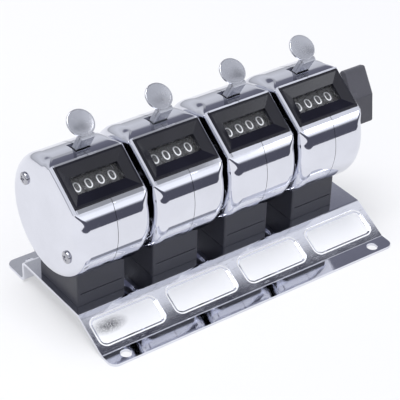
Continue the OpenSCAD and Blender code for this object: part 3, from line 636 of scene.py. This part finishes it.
def caseShell(side):
    # turned cup, as far out at each angle as the case or its hood
    s = caseSizes
    r, rim = s["radius"], s["rim"]
    depth = s["half"] - side * s["seam"] - s["seamGap"]
    profile = [(q, 0) for q in (*s["faceRings"], r - rim - s["rimLead"])]
    profile += [(r - rim + y, rim - x) for x, y in (ray(rim, a) for a in range(0, 91, 10))]
    profile += [(r, e) for e in (rim + s["wallLead"], *s["wallRings"], depth)]
    bm = turned(profile, s["steps"])
    low, high = hoodEdges()
    flare = math.radians(s["flare"])
    # fan cuts along the hood's edges and through its flares
    fan = [low, high, low + s["edgeCut"], high - s["edgeCut"]]
    fan += [low - flare * k for k in s["flareCuts"]] + [high + flare * k for k in s["flareCuts"]]
    for a in fan:
        cutAcross(bm, (0, 0, 0), (-math.sin(a), math.cos(a), 0), lambda c: c.x > 0)
    for v in bm.verts:
        e, radius = v.co.z, math.hypot(v.co.x, v.co.y)
        angle = math.atan2(v.co.y, v.co.x)
        reach, across, up = caseReach(angle)
        if e < 1e-6 and radius <= r - rim + 1e-6:
            radius *= (reach - up) / (r - rim)
        elif e <= rim + 1e-6:
            a = math.atan2(radius - (r - rim), rim - e)
            radius = reach - up * (1 - math.sin(a))
            e = across * (1 - math.cos(a))
        else:
            radius = reach
            e = across + (e - rim) * (depth - across) / (depth - rim)
        out = (side * (s["half"] - e), radius * math.sin(angle), radius * math.cos(angle))
        v.co = facePlane @ Vector(out)
    return recalc(bm)


def openCase(bm, side):
    # hole for the bezel and slot for the lever
    s = caseSizes
    normal = facePlane @ Vector((0, 0, 1))
    along = facePlane @ Vector((0, 1, 0))
    x0, x1, y0, y1 = s["slot"]
    marginX, marginY = s["slotMargin"]

    def onHood(c):
        return c.dot(normal) > s["openFrom"] and abs(c.dot(along)) < s["hoodSpan"]

    def onTop(c):
        return (c.z > s["topFrom"] and y0 - marginY < c.y < y1 + marginY
                and x0 - marginX < c.x < x1 + marginX)

    def isOpen(c):
        inHole = onHood(c) and abs(c.x) < s["holeW"] / 2 and abs(c.dot(along) - s["holeS"]) < s["holeH"] / 2
        return inHole or (c.z > s["openFrom"] and x0 < c.x < x1 and y0 < c.y < y1)

    for edge in (-1, 1):
        cutAcross(bm, along * (s["holeS"] + edge * s["holeH"] / 2), along, onHood)
    cutAcross(bm, (side * s["holeW"] / 2, 0, 0), (1, 0, 0), onHood)
    for x in (x0, x1):
        cutAcross(bm, (x, 0, 0), (1, 0, 0), onTop)
    for y in (y0, y1):
        cutAcross(bm, (0, y, 0), (0, 1, 0), onTop)
    gone = [f for f in bm.faces if isOpen(f.calc_center_median())]
    bmesh.ops.delete(bm, geom=gone, context="FACES")


def caseHalf(side):
    s = caseSizes
    bm = caseShell(side)
    openCase(bm, side)
    weld(bm)
    recalc(bm)
    if sum(f.normal.dot(f.calc_center_median()) for f in bm.faces) < 0:
        bmesh.ops.reverse_faces(bm, faces=bm.faces)
    bmesh.ops.solidify(bm, geom=bm.faces[:], thickness=s["wall"])
    # the outer edge at the seam is rounded, which draws the seam line
    seam = s["seam"] + side * s["seamGap"]
    normal = facePlane @ Vector((0, 0, 1))

    def atSeam(e):
        mid = (e.verts[0].co + e.verts[1].co) / 2
        outside = math.hypot(mid.y, mid.z) > s["seamR"] or mid.dot(normal) > s["seamD"]
        return outside and all(abs(v.co.x - seam) < 2e-3 for v in e.verts)

    return soften(bm, s["seamSoft"], [e for e in sharpEdges(bm) if atSeam(e)])


def caseHoles(side, shaft):
    s = caseSizes
    holes = []
    if shaft:
        o = shaftOffset()
        holes.append(move(rod(s["shaftHole"], -9, 9, 32), shift(side * s["half"], o.y, o.z) @ alongX))
    if side < 0:
        holes += [move(rod(s["screwHole"], -3, 3, 24), shift(-s["half"], y, z) @ alongX)
                  for y, z in screwPlaces]
    return join(holes)


def addCases():
    # no shaft hole in the first counter's left end
    left, right = caseHalf(-1), caseHalf(1)
    closed = carve(left.copy(), caseHoles(-1, False))
    left = carve(left, caseHoles(-1, True))
    right = carve(right, caseHoles(1, True))
    onCounters((closed, left), "caseLeft", "stand", "chromePlate", "case_left", "chrome", 32)
    onCounters((right,), "caseRight", "stand", "chromePlate", "case_right", "chrome", 32)


addCases()
print("cases made")

# window bezel with sloping walls, and the lens

bezelSizes = {
    "w": 26.8, "h": 16.2, "s": 0.85, "corner": 0.7, "back": 17.6, "top": 21.2,
    "rim": 0.9, "foot": 19.4, "window": (18.9, 6.5, 0.2, 1.1),  # width, height, and its middle
    "soft": 0.22, "innerSoft": 0.1,
}
lensSizes = {"w": 20.4, "h": 8.0, "t": 1.0, "corner": 0.3, "place": (0.2, 1.1, 17.6), "soft": 0.08}


def bezelForm():
    s = bezelSizes
    bm = rectangle(s["w"], s["h"])
    roundCorners(bm, bm.verts[:], s["corner"], 4)
    move(bm, shift(0, s["s"], s["back"]))
    top = pullOut(bm, bm.faces[:], (0, 0, s["top"] - s["back"]))[0]
    under = next(f for f in bm.faces if f.calc_center_median().z < s["back"] + 1e-4)
    bmesh.ops.inset_region(bm, faces=[top], thickness=s["rim"], use_even_offset=True)
    rimLoop = list(top.edges)

    def sink(face, z):
        # the face again at the window's outline and a new height
        w, h, x, y = s["window"]
        got = pullOut(bm, [face], (0, 0, 0))[0]
        c = got.calc_center_median()
        spanX = max(abs(v.co.x - c.x) for v in got.verts)
        spanY = max(abs(v.co.y - c.y) for v in got.verts)
        for v in got.verts:
            v.co = Vector((x + (v.co.x - c.x) * w / 2 / spanX, y + (v.co.y - c.y) * h / 2 / spanY, z))
        return got

    floor = sink(top, s["foot"])
    windowLoop = list(floor.edges)
    last = sink(floor, s["back"])
    loops = list(last.edges) + list(under.edges)
    bmesh.ops.delete(bm, geom=[f for f in (top, floor, last, under) if f.is_valid], context="FACES_ONLY")
    bmesh.ops.bridge_loops(bm, edges=[e for e in loops if e.is_valid])
    recalc(bm)
    outer = [e for e in sharpEdges(bm, 70) if all(abs(v.co.z - s["top"]) < 1e-4 for v in e.verts)]
    soften(bm, s["soft"], outer, 3)
    soften(bm, s["innerSoft"], [e for e in rimLoop + windowLoop if e.is_valid])
    return move(bm, facePlane)


def lensForm():
    s = lensSizes
    bm = soften(plate(s["w"], s["h"], s["t"], s["corner"], 3), s["soft"])
    return move(bm, facePlane @ shift(*s["place"]))


onCounters((bezelForm(),), "bezelFrame", "stand", "bezelBlack", "bezel", "black_plastic", 25)
onCounters((lensForm(),), "lensClear", "stand", "clearLens", "lens", "clear_lens")
print("windows made")

# printed figures, ten on the rim of each wheel

figures = {
    "height": 3.88, "width": 2.6, "stroke": 0.52, "thick": 0.04, "lift": 0.03,
    "wheelR": 9.405, "pitch": 4.6, "x": 0.45,
    "aim": 5.8,  # degrees from the window's normal to the zero
}


def bow(cx, cy, rx, ry, a0, a1, n=10):
    rays = [ray(1, a0 + (a1 - a0) * k / n) for k in range(n + 1)]
    return [(cx + rx * x, cy + ry * y) for x, y in rays]


# strokes in a box of -1 to 1 across and -1 to 1 up
strokesOf = {
    0: [bow(0, 0.25, 1, 0.75, 0, 180, 12) + bow(0, -0.25, 1, 0.75, 180, 360, 12) + [(1, 0.25)]],
    1: [[(-0.45, 0.62), (0.1, 1), (0.1, -1)]],
    2: [bow(0, 0.4, 0.95, 0.6, 170, -35) + [(-0.95, -1), (1, -1)]],
    3: [bow(-0.05, 0.5, 0.85, 0.5, 150, -90), bow(-0.05, -0.5, 1, 0.5, 90, -150)],
    4: [[(0.95, -0.4), (-1, -0.4), (0.45, 1), (0.45, -1)]],
    5: [[(0.85, 1), (-0.75, 1), (-0.85, 0.1)] + bow(0, -0.38, 0.98, 0.62, 130, -150, 14)],
    6: [[(0.5, 1), (-0.75, -0.05)] + bow(0, -0.42, 0.95, 0.58, 165, 525, 18)],
    7: [[(-0.95, 1), (0.95, 1), (-0.3, -1)]],
    8: [bow(0, 0.52, 0.78, 0.48, 0, 360, 16), bow(0, -0.46, 0.98, 0.54, 0, 360, 16)],
    9: [[(-0.5, -1), (0.75, 0.05)] + bow(0, 0.42, 0.95, 0.58, -15, 345, 18)],
}


def ribbon(bm, points, half):
    # flat band along a line of points, mitred at the corners
    pairs = []
    for k, (x, y) in enumerate(points):
        before = Vector(points[max(k - 1, 0)])
        after = Vector(points[min(k + 1, len(points) - 1)])
        here = Vector((x, y))
        inDir = (here - before).normalized() if k else (after - here).normalized()
        outDir = (after - here).normalized() if k < len(points) - 1 else inDir
        mid = (inDir + outDir).normalized()
        side = Vector((-mid.y, mid.x)) * half / max(0.5, mid.dot(inDir))
        pairs.append((bm.verts.new((*(here - side), 0)), bm.verts.new((*(here + side), 0))))
    for (a, b), (c, d) in zip(pairs, pairs[1:]):
        bm.faces.new((a, b, d, c))


def figureRing():
    # flat figures laid out along the rim, then wrapped round it
    f = figures
    scaleX, scaleY = (f["width"] - f["stroke"]) / 2, (f["height"] - f["stroke"]) / 2
    made = []
    for digit, lines in strokesOf.items():
        part = bmesh.new()
        for line in lines:
            ribbon(part, [(x * scaleX, y * scaleY) for x, y in line], f["stroke"] / 2)
        bmesh.ops.solidify(part, geom=part.faces[:], thickness=f["thick"])
        for v in part.verts:
            around = v.co.y / f["wheelR"] - digit * math.tau / 10
            out = f["wheelR"] + f["lift"] + v.co.z - f["thick"] / 2
            v.co = Vector((v.co.x, out * math.sin(around), out * math.cos(around)))
        made.append(part)
    return join(made)


def addFigures():
    ring = figureRing()
    o = shaftOffset()
    aim = facePlane @ turn(-figures["aim"], "X")
    for i in range(4):
        for k, wheel in enumerate(("units", "tens", "hundreds", "thousands")):
            x = (1.5 - k) * figures["pitch"] + figures["x"]  # units on the right
            finish(copyOf(ring, counterPlace(i) @ shift(x, o.y, o.z) @ aim), f"{wheel}Figures{i + 1}",
                   f"{wheel}_{i + 1}", ["figureWhite"], weigh=False)
    ring.free()


addFigures()
print("figures printed")

# thumb lever: folded strip with dished pad, side flanges, bridge and arms

leverSizes = {
    "x": 0.8, "neckY": -0.45, "neckZ": 22.5, "lean": 30.0, "w": 5.4, "len": 7.3, "root": -6, "t": 1.0,
    "foldAt": -5.8, "padIn": -4.45, "foldEase": (0, -0.25, -0.45), "foldLap": 0.3, "innerLap": 0.55,
    "foldSoft": 0.35, "stripSoft": 0.2,
    "padR": 5.0, "padY": 0.45, "padZ": 32.4, "rise": 37.4, "dish": 0.35, "rimW": 0.7, "rimUp": 0.03,
    "soft": 0.28, "edgeSoft": 0.15,
    "flange": (1.8, 7.8, 0.74, 0.5), "flangePlace": (0.03, 1.7, 2.3), "flangeT": 0.8,
    "armOut": 11.4, "armW": 3.2, "armT": 1.0, "elbow": (-9.01, 12.0), "pivot": (-15.505, 3.014),
    "bridgeH": 3.0, "bridgeLow": -4.5, "finger": (0.6, 3.6, 1.6), "fingerPlace": (9.65, 1.6, -6.8),
    "eyeIn": 1.55, "eyeOut": 2.8, "eyeHalf": 0.5,
}


def bar(a, b, width, thick, x, soft):
    # flat bar with round ends between two points of the side view
    bm = soften(plate(math.dist(a, b) + width, width, thick, width / 2 - 0.01, 8), soft)
    angle = math.atan2(b[1] - a[1], b[0] - a[0])
    return move(bm, shift(x, (a[0] + b[0]) / 2, (a[1] + b[1]) / 2) @ sideOn
                @ Matrix.Rotation(angle, 4, "Z") @ shift(0, 0, -thick / 2))


def stripForm(neck, pad):
    # folded strip: side outline of neck and pad root, pulled out sideways
    s = leverSizes
    root, bend = neck @ Vector((0, 0, s["root"])), neck @ Vector((0, 0, s["len"]))
    fold, padIn = pad @ Vector((0, s["foldAt"], 0)), pad @ Vector((0, s["padIn"], 0))
    backNeck = (neck.to_3x3() @ Vector((0, 1, 0))) * s["t"]
    underPad = (pad.to_3x3() @ Vector((0, 0, -1))) * s["t"]
    out = (padIn - fold).normalized()
    outline = [root, bend, fold + Vector(s["foldEase"]), fold + out * s["foldLap"], padIn, padIn + underPad,
               fold + underPad + out * s["innerLap"], bend + backNeck, root + backNeck]
    bm = prism(polygon([(-s["w"] / 2, p.y, p.z) for p in outline]), (s["w"], 0, 0))
    soften(bm, s["foldSoft"], [e for e in sharpEdges(bm, 12) if abs(span(e).x) > 1], 3)
    return move(soften(bm, s["stripSoft"]), shift(s["x"]))


def padForm():
    s = leverSizes
    r, soft, dish, up = s["padR"], s["soft"], s["dish"], s["rimUp"]
    rim = r - s["rimW"]
    profile = [(0, -dish)] + [(rim * k / 8, -dish + dish * (k / 8) ** 2) for k in range(1, 9)]
    profile += [(rim + 0.12, up), (r - soft, up)]
    profile += [(r - soft + y, up - soft + x) for x, y in (ray(soft, a) for a in (30, 60, 90))]
    profile += [(r, -s["t"] + soft), (r - 0.1, -s["t"] + 0.1), (r - soft, -s["t"]), (0, -s["t"])]
    return turned(profile, 64)


def leverForm():
    s = leverSizes
    neck = shift(s["x"], s["neckY"], s["neckZ"]) @ turn(s["lean"], "X")
    pad = shift(s["x"], s["padY"], s["padZ"]) @ turn(s["rise"], "X")
    centred = shift(-s["x"]) @ neck
    parts = [stripForm(neck, pad), move(padForm(), pad)]
    dx, dy, dz = s["flangePlace"]
    for x in (-s["w"] / 2, s["w"] / 2 - s["flangeT"]):
        flange = soften(plate(*s["flange"], 3), s["edgeSoft"])
        parts.append(move(flange, neck @ shift(x + dx, dy, dz) @ sideOn))
    # bridge, finger and arms inside the case
    bridge = soften(plate(2 * s["armOut"], s["bridgeH"], s["t"], 0.3, 2), s["edgeSoft"])
    parts.append(move(bridge, centred @ shift(0, s["t"], s["bridgeLow"]) @ upright))
    finger = soften(plate(*s["finger"], 0), 0.1)
    parts.append(move(finger, centred @ shift(*s["fingerPlace"]) @ upright))
    middle = centred @ Vector((0, s["t"] / 2, s["bridgeLow"]))
    r0, r1, h = s["eyeIn"], s["eyeOut"], s["eyeHalf"]
    for side in (-1, 1):
        x = side * (s["armOut"] - s["armT"] / 2)
        for a, b in (((middle.y, middle.z), s["elbow"]), (s["elbow"], s["pivot"])):
            parts.append(bar(a, b, s["armW"], s["armT"], x, s["edgeSoft"]))
        eye = turned([(r0, -h), (r1 - 0.15, -h), (r1, 0.15 - h), (r1, h - 0.15), (r1 - 0.15, h), (r0, h),
                      (r0, -h)], 40)
        parts.append(move(eye, shift(x, *s["pivot"]) @ alongX))
    return join(parts)


onCounters((leverForm(),), "thumbLever", "lever_#", "leverChrome", "lever", "chrome", 35)
print("levers made")

# lever return spring: real coils round the pivot pin, with two legs

springSizes = {"coilR": 2.3, "wire": 0.3, "turns": 7, "x": -9.65, "length": 5.0, "legs": (8.0, 7.03)}


def springForm():
    s = springSizes
    py, pz = leverSizes["pivot"]
    # the legs lie against the lever's elbow and the lower case screw
    start, end = [math.atan2(z - pz, y - py) for y, z in (leverSizes["elbow"], screwPlaces[1])]
    first, last = s["x"] + s["wire"], s["x"] + s["length"] - s["wire"]

    def at(x, radius, angle):
        return Vector((x, py + radius * math.cos(angle), pz + radius * math.sin(angle)))

    total = s["turns"] * math.tau + (end - start) % math.tau
    count = s["turns"] * 16
    coils = [at(first + (last - first) * k / count, s["coilR"], start + total * k / count)
             for k in range(count + 1)]
    return wire([at(first, s["legs"][0], start), *coils, at(last, s["legs"][1], end)], s["wire"])


onCounters((springForm(),), "leverSpring", "stand", "springSteel", "lever_spring", "steel", weigh=False)

# screws, with the head's top at z = 0 and the shank down

screwSizes = {
    # head radius and height, shank radius, length, depth of the cross
    "case": (2.3, 1.2, 1.25, 30.1, 0.7), "stand": (2.75, 2.0, 1.45, 17.8, 0.8),
    "pitch": 0.5, "thread": 0.18, "tip": 0.3,
    "crossHalf": 0.48, "crossReach": 0.78, "crossTaper": (0.45, 0.6, 1),
    "caseX": -15.9, "caseTurn": (25, 37), "standZ": -35.1, "standTurn": (0, 40),
}


def crossRecess(radius, depth):
    s = screwSizes
    arms = []
    for degrees in (0, 90):
        arm = prism(rectangle(2 * radius, 2 * s["crossHalf"], 0.5), (0, 0, -0.5 - depth))
        for v in arm.verts:
            if v.co.z < 0:
                v.co *= Vector(s["crossTaper"])
        arms.append(move(arm, turn(degrees, "Z")))
    return carve(*arms, "UNION")


def screwForm(headR, headH, shankR, length, recess):
    s, pitch = screwSizes, screwSizes["pitch"]
    crown = [ray(1, a) for a in (15, 30, 45, 60, 75)]
    profile = [(0, 0)] + [(headR * 0.98 * y, headH * 0.55 * (x - 1)) for x, y in crown]
    profile += [(headR, -headH * 0.62), (headR, -headH + 0.1), (headR - 0.1, -headH)]
    profile += [(shankR + 0.1, -headH), (shankR, -headH - 0.15)]
    z = -headH - 1.2
    profile.append((shankR, z))
    for _ in range(int((length - headH - 2) / pitch) - 1):
        profile += [(shankR - s["thread"], z - pitch / 2), (shankR, z - pitch)]
        z -= pitch
    profile += [(shankR - s["tip"], -length), (0, -length)]
    return carve(turned(profile, 28), crossRecess(headR * s["crossReach"], recess))


def addScrews():
    s = screwSizes
    inStand = [(side * row["standScrewX"], 0, s["standZ"]) for side in (-1, 1)]
    kinds = (
        ("case", "screwSteel", "chrome", [(s["caseX"], y, z) for y, z in screwPlaces], turn(-90, "Y")),
        ("stand", "steelBright", "steel", inStand, turn(180, "X")),
    )
    for kind, mat, slot, places, aim in kinds:
        screw = screwForm(*s[kind])
        first, step = s[kind + "Turn"]
        made = [copyOf(screw, counterPlace(i) @ shift(*place) @ aim @ turn(first + step * (i + n), "Z"))
                for i in range(4) for n, place in enumerate(places)]
        screw.free()
        finish(join(made), kind + "Screws", "stand", [mat], [kind + "_screws"], slot, 35)


addScrews()
print("springs and screws made")

# block under each counter, with its parting line

blockSizes = {
    "w": 19.5, "d": 24.6, "foot": -32.1, "top": -19.1, "parting": -27.2, "soft": 0.7, "footSoft": 0.2,
    "grooveShort": 2.5, "grooveH": 0.4, "grooveT": 1.0, "grooveIn": 0.3, "hole": 1.6,
}


def blockForm():
    s = blockSizes
    bm = move(plate(s["w"], s["d"], s["top"] - s["foot"], s["soft"]), shift(0, 0, s["foot"]))
    low = [e for e in sharpEdges(bm) if all(abs(v.co.z - s["foot"]) < 1e-4 for v in e.verts)]
    soften(bm, s["footSoft"], low)
    bm = carve(bm, move(rod(caseSizes["radius"], -20, 20, 180), alongX))
    bmesh.ops.dissolve_limit(bm, angle_limit=math.radians(0.5), verts=bm.verts, edges=bm.edges)
    groove = plate(s["w"] - s["grooveShort"], s["grooveH"], s["grooveT"], 0)
    move(groove, shift(0, s["grooveIn"] - s["d"] / 2, s["parting"] + s["grooveH"] / 2) @ upright)
    bm = carve(bm, groove)
    return carve(bm, join([move(rod(s["hole"], -40, -10, 24), shift(side * row["standScrewX"]))
                           for side in (-1, 1)]))


onCounters((blockForm(),), "standBlock", "stand", "blockBlack", "stand_block", "block_black", 30)

# base plate: one folded sheet with pressed label fields

plateSizes = {
    "length": 126.0, "sheet": 1.0, "front": -34.7, "foot": -28.2, "crest": -13.15, "deck": 8.9,
    "rear": 24.2, "back": 36.1, "corner": 3.0, "foldIn": 1.0, "foldOut": 2.0, "soft": 0.18,
    "holes": (110.6, 62.6, 2.0), "holeSoft": 0.3, "screwHole": 1.6,
    "fieldW": 25.8, "fieldH": 10.0, "fieldDeep": 0.42, "fieldPitch": 31.5, "fieldX": -0.3, "fieldS": 8.7,
    "fieldCorner": 2.2,
    # height and growth of the tool that presses a field: narrow outer step, flat rim, steep wall, floor
    "fieldSteps": [(0.6, 1.30), (0.02, 1.00), (-0.04, 0.91), (-0.07, 0.85), (-0.10, 0.30), (-0.17, 0.14),
                   (-0.30, -0.10), (-0.38, -0.28), (-0.42, -0.46)],
    # painted reflection: the flat rim between these heights is painted white instead of left chrome;
    # whiteHalf and whiteArea bound rim and floor alike
    "paintedReflectionRim": (-0.115, -0.065), "whiteHalf": 6.2, "whiteArea": 0.05,
}


def fieldCutter():
    s = plateSizes
    bm = rectangle(2, 2)
    roundCorners(bm, bm.verts[:], 0.5, 8)
    fitted = {}

    def fit(face, z, out):
        w, h, c = s["fieldW"] / 2 + out, s["fieldH"] / 2 + out, s["fieldCorner"] + out
        for v in face.verts:
            x, y = v.co.x, v.co.y
            fitted[v] = Vector((math.copysign(w - c, x) + (abs(x) - 0.5) / 0.5 * math.copysign(c, x),
                                math.copysign(h - c, y) + (abs(y) - 0.5) / 0.5 * math.copysign(c, y), z))

    layers = [next(iter(bm.faces))]
    fit(layers[0], *s["fieldSteps"][0])
    for z, out in s["fieldSteps"][1:]:
        layers.append(pullOut(bm, [layers[-1]], (0, 0, 0))[0])
        fit(layers[-1], z, out)
    for v, co in fitted.items():
        v.co = co
    bmesh.ops.delete(bm, geom=layers[1:-1], context="FACES_ONLY")
    return recalc(bm)


def foldedSheet(slope):
    s = plateSizes
    t = s["sheet"]
    half = math.tan(slope / 2)
    fold, lap = s["foldIn"], t * half
    # side outline with sharp folds: (y, z, fold allowance)
    outline = [
        (s["front"], t, 0), (s["foot"], t, fold * half), (s["crest"], s["deck"], s["foldOut"] * half),
        (s["rear"], s["deck"], s["foldOut"]), (s["rear"], t, fold), (s["back"], t, 0), (s["back"], 0, 0),
        (s["rear"] - t, 0, s["foldOut"]), (s["rear"] - t, s["deck"] - t, fold),
        (s["crest"] + lap, s["deck"] - t, fold * half), (s["foot"] + lap, 0, s["foldOut"] * half),
        (s["front"], 0, 0),
    ]
    bm = bmesh.new()
    made = [bm.verts.new((-s["length"] / 2, y, z)) for y, z, _ in outline]
    bm.faces.new(made)
    for v, (_, _, allowance) in zip(made, outline):
        if allowance:
            roundCorners(bm, [v], allowance, 8)
    prism(bm, (s["length"], 0, 0))
    corners = [e for e in bm.edges if abs(span(e).z) > 0.5 * t and span(e).xy.length < 1e-4
               and not s["front"] + 0.01 < e.verts[0].co.y < s["back"] - 0.01]
    return soften(bm, s["corner"], corners, 8)


def plateForm():
    s = plateSizes
    t = s["sheet"]
    slope = math.atan2(s["deck"] - t, s["crest"] - s["foot"])
    bm = foldedSheet(slope)
    dx, dy, r = s["holes"]
    wide = r + s["holeSoft"]
    holes = [move(turned([(0, -2), (r, -2), (r, t - 0.15), (wide, t + 0.15), (wide, 3), (0, 3)], 40),
                  shift(x * dx, y * dy)) for x in (-0.5, 0.5) for y in (-0.5, 0.5)]
    holes += [move(rod(s["screwHole"], 5, 12, 24), shift(x + side * row["standScrewX"], row["axisY"]))
              for x in row["centres"] for side in (-1, 1)]
    bm = carve(bm, join(holes))
    slopeTop = shift(0, s["crest"], s["deck"]) @ Matrix.Rotation(slope, 4, "X")
    fields = [shift(s["fieldX"] + (k - 1.5) * s["fieldPitch"], -s["fieldS"]) for k in range(4)]
    bm = carve(bm, join([move(fieldCutter(), slopeTop @ place) for place in fields]))
    weld(bm)
    bmesh.ops.dissolve_limit(bm, angle_limit=math.radians(0.4), verts=bm.verts, edges=bm.edges)
    soften(bm, s["soft"], [e for e in sharpEdges(bm, 70) if e.calc_length() > 0.05])
    # the floor of each field is white enamel for writing; its flat chrome rim is painted the same white, a
    # painted reflection of the bright sky
    back = slopeTop.inverted()
    low, high = s["paintedReflectionRim"]
    for f in bm.faces:
        c = back @ f.calc_center_median()
        # the rim band is a painted reflection, the floor is the real white field
        onField = abs(c.z + s["fieldDeep"]) < 0.02 or low < c.z < high
        if onField and abs(c.y + s["fieldS"]) < s["whiteHalf"] and f.calc_area() > s["whiteArea"]:
            f.material_index = 1
    return bm


finish(move(plateForm(), toMetres), "basePlate", "stand", ["chromeSheet", "fieldWhite"], ["base_plate"],
       "chrome", 28)
print("blocks and base plate made")

# reset knob, shaft and its small parts, each drawn up the shaft's own axis

knobSizes = {
    "hubX": 58.3, "wingX": 63.8, "wingL": 10.0, "wingHalf": 10.9, "wingEnd": 1.5, "wingMid": 3.9,
    "lean": 19.7, "tipSoft": 0.8, "ridgeSoft": 0.4, "soft": 0.55,
    "hubR": 4.2, "hubL": 8, "bore": 2.05, "boreL": 13.5,
    "screwHole": 1.25, "screwFrom": 5.2, "screwAt": 2.7,
}
shaftSizes = {
    "start": -64.3, "end": 71.5, "r": 2.0, "chamfer": 0.3,
    "groove": (0.9, 1.6, 113), "groovePlace": (0, 2.2, -60.3),
    "clips": (-62.7, 53.8), "clipIn": 1.55, "clipOut": 3.0, "clipT": 0.6, "clipSoft": 0.08,
    "mouth": (2.4, 4, 2), "mouthPlace": (0, 2.0, -0.7),
    "setScrew": (1.2, 1.9, 2.0), "tip": 0.3, "socket": (0.75, 1.1),  # radius, length, place; radius, from
}


def onShaft(bm, x, name, mat, hides, slot, sharp=38):
    o = shaftOffset()
    place = toMetres @ shift(x, row["axisY"] + o.y, row["axisZ"] + o.z) @ sideOn
    finish(move(bm, place), name, "reset", [mat], [hides], slot, sharp)


def knobForm():
    s = knobSizes
    end, mid, tall = s["wingEnd"], s["wingMid"], s["wingHalf"]
    bm = prism(polygon([(-mid, 0, 0), (-end, -tall, 0), (end, -tall, 0),
                        (mid, 0, 0), (end, tall, 0), (-end, tall, 0)]), (0, 0, s["wingL"]))
    for width, segments, isTip in ((s["tipSoft"], 4, True), (s["ridgeSoft"], 3, False)):
        soften(bm, width, [e for e in bm.edges if abs(span(e).z) > 1
                           and (abs(e.verts[0].co.y) > 1) == isTip], segments)
    soften(bm, s["soft"], segments=4)
    move(bm, shift(0, 0, s["wingX"] - s["hubX"]) @ turn(-s["lean"], "Z"))
    r, bore = s["hubR"], s["bore"]
    hub = turned([(0, 0), (r - 0.3, 0), (r - 0.08, 0.08), (r, 0.3), (r, s["hubL"]), (0, s["hubL"])], 64)
    bm = carve(bm, hub, "UNION")
    bm = carve(bm, turned([(0, -1), (bore + 0.25, -1), (bore, 0.3), (bore, s["boreL"]), (0, s["boreL"])], 40))
    pocket = shift(0, -s["screwFrom"], s["screwAt"]) @ turn(-90, "X")
    return carve(bm, move(rod(s["screwHole"], -1, s["screwFrom"], 28), pocket))


def shaftForm():
    s = shaftSizes
    low, high, r, c = s["start"], s["end"], s["r"], s["chamfer"]
    bm = turned([(0, low), (r - c, low), (r, low + c), (r, high - c), (r - c, high), (0, high)], 40)
    return carve(bm, move(plate(*s["groove"], 0), shift(*s["groovePlace"])))


def clipForm():
    s = shaftSizes
    r0, r1, t, c = s["clipIn"], s["clipOut"], s["clipT"], s["clipSoft"]
    ring = turned([(r0, 0), (r1 - c, 0), (r1, c), (r1, t - c), (r1 - c, t), (r0, t), (r0, 0)], 44)
    return carve(ring, move(plate(*s["mouth"], 0), shift(*s["mouthPlace"])))


def setScrewForm():
    s = shaftSizes
    (r, high, place), tip, (socketR, socketFrom) = s["setScrew"], s["tip"], s["socket"]
    bm = turned([(0, 0), (r - tip, 0), (r, tip), (r, high - 0.1), (r - 0.1, high), (0, high)], 28)
    bm = carve(bm, rod(socketR, socketFrom, high + 1.1, 6))
    return move(bm, shift(0, 0, knobSizes["screwAt"]) @ turn(90, "X") @ shift(0, 0, place))


onShaft(knobForm(), knobSizes["hubX"], "resetKnob", "knobBlack", "reset_knob", "knob_black", 32)
onShaft(shaftForm(), 0, "resetShaft", "steelBright", "reset_shaft", "steel")
onShaft(join([move(clipForm(), shift(0, 0, x)) for x in shaftSizes["clips"]]), 0, "shaftClips", "springSteel",
        "shaft_clips", "steel")
onShaft(setScrewForm(), knobSizes["hubX"], "knobSetScrew", "steelBright", "knob_set_screw", "steel")
print("reset knob and shaft made")

# inner parts keep their solids and take a finish
innerSkins = {"wheel": "wheelBlack", "frame": "steelBright", "pinions": "brassCast"}
for name, obj in nodes.items():
    mat = skins.get(innerSkins.get(name.split("_")[0]))
    if mat:
        slots = obj.data.materials
        if not slots:
            slots.append(mat)
        for i in range(len(slots)):
            slots[i] = mat
